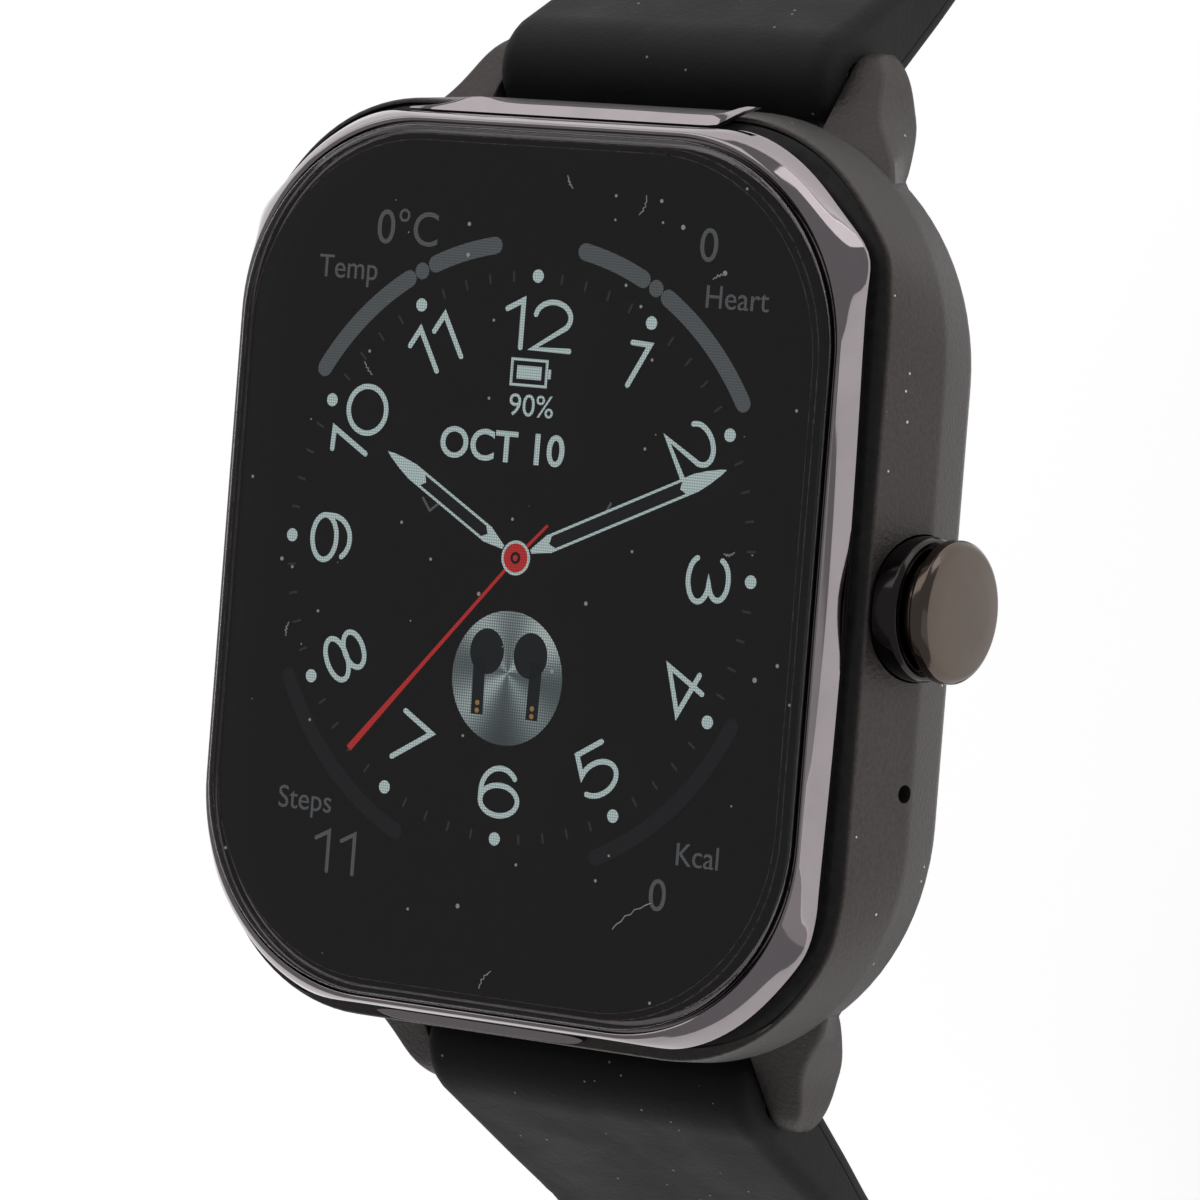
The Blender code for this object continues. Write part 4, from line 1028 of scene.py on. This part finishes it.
def route(s, curl):
    d0 = (math.cos(A0), -math.sin(A0))
    if s <= STRAIGHT:
        return BAR_Y + d0[0] * s, BAR_Z + d0[1] * s, A0
    u1, z1 = BAR_Y + d0[0] * STRAIGHT, BAR_Z + d0[1] * STRAIGHT
    if s <= S_VERT:
        a = A0 + (s - STRAIGHT) / BEND_R
        return u1 + BEND_R * (math.sin(a) - math.sin(A0)), z1 + BEND_R * (math.cos(a) - math.cos(A0)), a
    half = math.pi / 2
    u2 = u1 + BEND_R * (1 - math.sin(A0))
    z2 = z1 - BEND_R * math.cos(A0)
    if not curl or s <= S_CURL:
        return u2, z2 - (s - S_VERT), half
    z3 = z2 - (S_CURL - S_VERT)
    if s <= S_CURL + CURL_R * half:
        a = half + (s - S_CURL) / CURL_R
        return u2 + CURL_R * (math.sin(a) - 1.0), z3 + CURL_R * math.cos(a), a
    return u2 - CURL_R - (s - S_CURL - CURL_R * half), z3 - CURL_R, math.pi


def spot(x, s, n, curl, sy):
    """Point at side x, length s along the strap and n off its middle line, outwards positive."""
    u, z, a = route(max(s, 0.0), curl)
    u, z = u + math.sin(a) * n, z + math.cos(a) * n
    if s < 0:
        u, z = u + math.cos(a) * s, z - math.sin(a) * s
    return (x, sy * u, z)


def strap_half(s):
    t = max(0.0, 1.0 - s / 12.0)
    return STRAP_H + 1.15 * (t if t > 0.12 else t * t / 0.24 + 0.06 * (t > 0))


def strap_wide(s):
    return 10.0 - min(1.0, max(0.0, (s - 8.0) / 34.0))


def strap_section(s, h, w, curl, sy, soft=1.0):
    """Closed section: broad soft shoulders outside, a fine parting line on the flanks, small rounds inside."""
    pts = []
    ro_n, ro_x = min(0.9, h * 0.8) * soft, min(1.05, 0.8 * h + 0.2) * soft
    top = h if curl else h + 0.5 * max(0.0, min(1.0, 1.0 - s / 13.0)) * min(1.0, h / 2.0)
    ri = min(0.42, h * 0.4)
    part = min(-0.12, -h + ri + 0.30)
    right = [(w, part - 0.045), (w - 0.05 * soft, part), (w, part + 0.045)]
    for i in range(9):
        a = math.pi / 2 * i / 8
        right.append((w - ro_x * (1 - math.cos(a)), top - ro_n * (1 - math.sin(a))))
    low = [(w - ri * (1 - math.cos(a)), -h + ri * (1 - math.sin(a))) for a in (math.pi / 2, math.pi / 3, math.pi / 6, 0.0)]
    prof = low + right
    prof += [(-x, n) for x, n in prof[::-1]]
    return [spot(x, s, n, curl, sy) for x, n in prof]


def strap_bm(curl, sy):
    rings = []
    for deg in (7, 14, 22, 31, 41, 52, 64, 77):
        a = math.radians(deg)
        h = 2.35 * math.sin(a) ** 0.8
        w = 10.0 - 0.55 * (1 - math.sin(a)) ** 2
        rings.append(strap_section(-2.9 * math.cos(a), h, w, curl, sy))
    end = S_END - 6.0 if curl else S_BUCKLE - 2.0
    stops = [0.6 * i for i in range(24)]
    while stops[-1] + 1.5 < end:
        stops.append(stops[-1] + 1.5)
    stops.append(end)
    rings += [strap_section(s, strap_half(s), strap_wide(s), curl, sy) for s in stops]
    if curl:
        for i in range(1, 15):
            a = math.radians(90.0 * min(i / 14, 0.985))
            rings.append(strap_section(S_END - 6.0 + 6.0 * math.sin(a), 1.2 - 0.25 * (1 - math.cos(a)), 9.0 * (0.30 + 0.70 * math.cos(a) ** 0.62), curl, sy))
    else:
        rings.append(strap_section(S_BUCKLE - 1.2, 1.3, 9.0, curl, sy))
        for deg in (90, 75, 60, 45, 30, 15, 6):
            a = math.radians(deg)
            rings.append(strap_section(S_BUCKLE + 1.7 * math.cos(a), 1.7 * math.sin(a), 9.0 - 0.3 * (1 - math.sin(a)), curl, sy))
    return loft(rings)


def strap_block(s0, s1, n0, n1, x0, x1, curl, sy):
    return loft([[spot(x, s, n, curl, sy) for x, n in ((x0, n0), (x1, n0), (x1, n1), (x0, n1))] for s in (s0, s1)])


def hole_bm(s, radius, curl, sy, n=40, flare=0.0):
    rings = []
    u, z, a = route(s, curl)
    for off, r in ((-3.0, radius + flare), (3.0, radius + flare)):
        ring = []
        for j in range(n):
            b = 2 * math.pi * j / n
            ds = r * math.sin(b)
            ring.append((r * math.cos(b), sy * (u + math.cos(a) * ds + math.sin(a) * off), z - math.sin(a) * ds + math.cos(a) * off))
        rings.append(ring)
    return loft(rings)


for node, sy, curl in (("upper_strap", 1, False), ("lower_strap", -1, True)):
    obj = finish_mesh(node + "_silicone", strap_bm(curl, sy), SILICONE, None, smooth=False)
    tools = [(raw("t", turned([(1.02, -11.0), (1.02, 11.0)], 40, True, (sy * BAR_Y, BAR_Z))), "DIFFERENCE")]
    notch = [[(x, sy * (BAR_Y + math.cos(A0) * ds + math.sin(A0) * n), BAR_Z - math.sin(A0) * ds + math.cos(A0) * n)
              for ds, n in ((-0.75, -3.4), (0.75, -3.4), (0.75, 0.0), (-0.75, 0.0))] for x in (4.9, 8.3)]
    tools.append((raw("t", loft(notch)), "DIFFERENCE"))
    if curl:
        tools += [(raw("t", hole_bm(52.0 + 6.2 * (i - 0.5), 1.1, True, sy)), "DIFFERENCE") for i in range(8)]
    else:
        bu, bz, _ = route(S_BUCKLE, False)
        tools.append((raw("t", turned([(0.82, -11.0), (0.82, 11.0)], 32, True, (bu, bz))), "DIFFERENCE"))
        tools.append((raw("t", strap_block(S_BUCKLE - 3.2, S_BUCKLE + 2.5, -3.0, 3.0, -1.4, 1.4, False, 1)), "DIFFERENCE"))
    carve(obj, tools)
    shade(obj, 32)
    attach(obj, node)
    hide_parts(node)


# ---- loops
def keeper(name, node, s0, s1, body):
    n_in, n_out, wall = -1.35, 3.75, 1.3
    mid, hn, ls = (n_in + n_out) / 2, (n_out - n_in) / 2, s1 - s0
    rings = []
    # round the section of the band: (grow from inner wall, position along)
    loop = [(0.0, 0.25), (0.05, 0.10), (0.15, 0.02), (0.3, 0.0), (wall - 0.35, 0.0), (wall - 0.15, 0.04), (wall - 0.04, 0.15), (wall, 0.35)]
    loop += [(g, ls - t) for g, t in loop[::-1]]
    for g, t in loop:
        r = 0.5 + 0.6 * g / wall + 0.25 * g
        ring = []
        for x, n, _ in outline(9.3 + g, hn + g, r, 0.0, n=8, k=4):
            ring.append(spot(x, s0 + t, mid + n, False, 1))
        rings.append(ring)
    obj = finish_mesh(name, loft(rings, closed=True), SILICONE, body, 34)
    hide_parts(node)


keeper("keeper_fixed_loop", "keeper_fixed", 67.0, 72.0, "upper_strap")
keeper("keeper_free_loop", "keeper_free", 56.0, 61.5, "keeper_free")

# ---- buckle
bu, bz, _ = route(S_BUCKLE, False)
path = [(-10.8, -1.62), (-10.8, -1.5)] + [(-10.8, -1.5 + 9.9 * i / 8) for i in range(1, 9)]
for i in range(1, 13):
    a = math.radians(180 - 90 * i / 12)
    path.append((-8.2 + 2.6 * math.cos(a), 8.4 + 2.6 * math.sin(a)))
path += [(-8.2 + 8.2 * i / 6, 11.0) for i in range(1, 7)]
path += [(-x, s) for x, s in path[-2::-1]]
rings = []
for i, (x, s) in enumerate(path):
    xa, sa = path[max(0, i - 1)]
    xb, sb = path[min(len(path) - 1, i + 1)]
    d = math.hypot(xb - xa, sb - sa)
    px, ps = -(sb - sa) / d, (xb - xa) / d
    k = 0.9 if i in (0, len(path) - 1) else 1.0
    ring = []
    for j in range(28):
        a = 2 * math.pi * j / 28
        c, q = math.cos(a), math.sin(a)
        w = 1.0 * k * math.copysign(abs(c) ** 0.55, c)
        n = 1.2 * k * math.copysign(abs(q) ** 0.55, q)
        ring.append((x + px * w, bu + n, bz - (s + ps * w)))
    rings.append(ring)
obj = finish_mesh("buckle_bow", loft(rings), BUCKLEM, None, smooth=False)
carve(obj, [(raw("t", turned([(0.74, -13.0), (0.74, 13.0)], 32, True, (bu, bz))), "DIFFERENCE")])
shade(obj, 34)
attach(obj, "buckle")
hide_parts("buckle_frame")

side = [(1.5 * math.cos(math.radians(60 + 270 * i / 26)), 1.5 * math.sin(math.radians(60 + 270 * i / 26))) for i in range(27)]
finger = [(2.2, -0.2), (8.8, 1.25), (12.0, 1.3), (12.3, 1.8), (11.8, 2.3), (8.4, 2.3), (2.4, 1.35)]
side += fillet_line([side[-1]] + finger + [side[0]], {1: 0.8, 2: 1.2, 3: 0.25, 4: 0.3, 5: 0.25, 6: 1.2, 7: 0.8}, 5)[1:-1]
rings = []
cx = sum(p[0] for p in side) / len(side)
cy = sum(p[1] for p in side) / len(side)
for x, inset in ((-1.1, 0.16), (-1.06, 0.06), (-0.95, 0.0), (0.95, 0.0), (1.06, 0.06), (1.1, 0.16)):
    ring = []
    m = len(side)
    for i, (s, n) in enumerate(side):
        a, b = Vector(side[i - 1]), Vector(side[(i + 1) % m])
        t = (b - a).normalized()
        ring.append((x, bu + n + (t.x * inset), bz - (s - t.y * inset)))
    rings.append(ring)
obj = finish_mesh("buckle_pin", loft(rings), BUCKLEM, None, smooth=False)
carve(obj, [(raw("t", turned([(0.76, -2.0), (0.76, 2.0)], 32, True, (bu, bz))), "DIFFERENCE")])
shade(obj, 34)
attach(obj, "tongue")
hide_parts("buckle_tongue")


# ---- back cover and sensor window
def round_to(z, radius, n=22, k=9):
    return [(radius * x / math.hypot(x, y), radius * y / math.hypot(x, y), z) for x, y, _ in outline(16.8, 20.8, 9.6, z, n=n, k=k)]


back_rings = [round_to(0.34, 9.1), round_to(0.3, 9.16), round_to(0.3, 10.4), round_to(0.32, 10.9), round_to(0.38, 11.3), round_to(0.45, 11.6)]
back_rings += rings_of(plain((15.7, 19.7, 9.6, 0.605), (15.9, 19.9, 9.6, 0.62), (16.3, 20.3, 9.6, 0.68), (16.6, 20.6, 9.6, 0.78), (16.75, 20.75, 9.6, 0.9), (16.8, 20.8, 9.6, 1.0), (16.8, 20.8, 9.6, 1.72)))
back_rings += [round_to(1.72, 9.1)]
obj = finish_mesh("back_shell", loft(back_rings, closed=True), PLASTIC, None, smooth=False)
tools = [(raw("t", turned([(1.02, 0.0), (1.02, 1.22), (0.6, 1.22), (0.6, 2.2)], 32, False, xy)), "DIFFERENCE") for xy in ((12.4, 16.4), (-12.4, 16.4), (-12.4, -16.4), (12.4, -16.4))]
tools += [(raw("t", turned([(1.12, 0.0), (1.12, 2.2)], 32, False, (x, -14.2))), "DIFFERENCE") for x in (-2.0, 2.0)]
carve(obj, tools)
shade(obj, 28)
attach(obj, "case")
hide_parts("back_cover")
lens = fillet_line([(0.05, 0.0), (8.5, 0.0), (8.75, 0.12), (8.85, 0.35), (8.85, 1.3)], {1: 0.25, 2: 0.1, 3: 0.12}, 5)
obj = finish_mesh("sensor_lens", turned(lens, 96, False), WINDOW, "case", 30)
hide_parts("sensor_window")

# ---- dust caught along the start of the glass bevel
DUSTY = Mat("dust_line")
DUSTY.nt.nodes.remove(DUSTY.b)
spread = DUSTY.node("ShaderNodeMixShader")
clearly, dusty = DUSTY.node("ShaderNodeBsdfTransparent"), DUSTY.node("ShaderNodeBsdfDiffuse")
dusty.inputs["Color"].default_value = (0.13, 0.11, 0.095, 1)
DUSTY.link(DUSTY.ramp(DUSTY.noise(0.35, 3.0, 0.7), [(0.40, 0.08), (0.62, 0.75)]), spread.inputs[0])
DUSTY.link(clearly.outputs[0], spread.inputs[1])
DUSTY.link(dusty.outputs[0], spread.inputs[2])
DUSTY.link(spread.outputs[0], next(n for n in DUSTY.nt.nodes if n.type == "OUTPUT_MATERIAL").inputs["Surface"])
for tag, o, w in (("outer", 0.0, 0.07), ("inner", 0.32, 0.05)):
    finish_mesh("glass_dust_" + tag, loft([outline(17.27 - o - u, 21.27 - o - u, 10.08 - 0.3 * (o + u), z, n=20, k=7) for u, z in ((0.0, 12.003), (0.0, 12.008), (w, 12.008), (w, 12.003))], closed=True), DUSTY, "case")


# ---- matte sill under the bezel along the 6 o'clock edge
def sill():
    inner, outer = outline(18.55, 22.47, 9.5, 0.0, n=24, k=15), outline(19.10, 22.96, 9.75, 0.0, n=24, k=15)
    idx = sorted((i for i, p in enumerate(outer) if p[1] < -18.0 and -13.5 < p[0] < 16.0), key=lambda i: outer[i][0])
    rings = []
    for q, i in enumerate(idx):
        (xi, yi, _), (xo, yo, _) = inner[i], outer[i]
        t = min(1.0, (q + 0.4) / 6.0, (len(idx) - q - 0.6) / 9.0)
        xi, yi = xo + (xi - xo) * t, yo + (yi - yo) * t
        rings.append([(xo, yo, 8.9), (xo, yo, 9.16), (xi, yi, 9.24), (xi, yi, 8.9)])
    finish_mesh("case_sill_6", loft(rings), BLAST, "case", 40)


sill()


# ---- a few fibres of lint on the glass
def lint(bm, z):
    faces = []
    for x, y, size, turn, curve in ((0.6, -20.1, 1.1, 55, 0.5), (2.0, 19.3, 0.7, 120, 0.4), (6.4, 18.4, 1.0, 70, -0.5), (11.2, 15.2, 0.8, 20, 0.4), (-9.4, 9.4, 0.8, 130, 0.3), (9.0, -16.0, 2.6, 35, 0.25), (-13.2, -4.0, 0.7, 80, 0.5), (13.0, 2.0, 0.6, 10, -0.6)):
        a = math.radians(turn)
        pts = []
        for i in range(9):
            u = (i / 8 - 0.5) * size
            v = curve * size * (0.25 - (i / 8 - 0.5) ** 2) + 0.06 * math.sin(9.0 * i)
            pts.append((x + u * math.cos(a) - v * math.sin(a), y + u * math.sin(a) + v * math.cos(a)))
        faces += ribbon(bm, pts, 0.045, z)
    return faces


FIBRE = Mat("lint_fibre")
FIBRE.set(color=FIBRE.ramp(FIBRE.noise(0.4), [(0.3, (0.34, 0.33, 0.31)), (0.7, (0.60, 0.58, 0.55))]), rough=0.8, spec=0.1)
chips("glass_lint", FIBRE, lint, z=12.012, drop=-0.008)


# ------------------------------------------------------------------ floor, light, camera
def floor_material():
    m = Mat("floor_pale")
    m.set(color=m.ramp(m.noise(0.05), [(0.3, (0.855, 0.855, 0.86)), (0.7, (0.865, 0.865, 0.865))]), rough=0.9, spec=0.1)
    m.b.inputs["Emission Color"].default_value = (1.0, 1.0, 1.0, 1.0)
    m.b.inputs["Emission Strength"].default_value = 0.66
    return m


FLOOR_Z = CAD_BOX[0][2] if not hasattr(CAD_BOX[0], "z") else CAD_BOX[0].z
bm = bmesh.new()
for ring in ([(x, y, FLOOR_Z / MM - 0.02) for x, y in ((-1600, -1600), (1600, -1600), (1600, 1600), (-1600, 1600))],):
    bm.faces.new([bm.verts.new(p) for p in ring])
floor = finish_mesh("floor", bm, floor_material(), None, smooth=False, recalc=False)

world = bpy.data.worlds.new("studio")
scene.world = world
world.use_nodes = True
world.node_tree.nodes["Background"].inputs[0].default_value = (0.93, 0.92, 0.95, 1)
world.node_tree.nodes["Background"].inputs[1].default_value = 0.32


def area(name, where, aim, size, power, color=(1, 1, 1)):
    data = bpy.data.lights.new(name, "AREA")
    data.shape = "RECTANGLE"
    data.size, data.size_y = size
    data.energy = power
    data.color = color
    obj = bpy.data.objects.new(name, data)
    obj.location = where
    obj.rotation_euler = (Vector(aim) - Vector(where)).to_track_quat("-Z", "Y").to_euler()
    scene.collection.objects.link(obj)
    return obj


area("key_top", (-0.55, 0.72, 0.48), (0, 0, 0.0), (1.1, 0.8), 2.9)
area("fill_right", (0.85, -0.30, 0.30), (0, 0, 0.0), (0.6, 0.8), 0.38)
area("rim_top", (0.30, 0.70, 0.10), (0, 0.02, 0.0), (0.5, 0.3), 0.7)

cam_data = bpy.data.cameras.new("camera")
cam_data.sensor_width = 36.0
cam_data.lens = 210.0
cam_data.clip_start, cam_data.clip_end = 0.01, 20.0
camera = bpy.data.objects.new("camera", cam_data)
right = Vector((0.81779082, 0.07831959, -0.57016157))
up = Vector((-0.08736914, 0.99610946, 0.01151465))
back = Vector((0.56884515, 0.04039795, 0.82145188))
m4 = Matrix.Identity(4)
for i in range(3):
    m4[i][0], m4[i][1], m4[i][2] = right[i], up[i], back[i]
m4.translation = Vector((0.19951304, 0.01287880, 0.29190183))
camera.matrix_world = m4
scene.collection.objects.link(camera)
scene.camera = camera
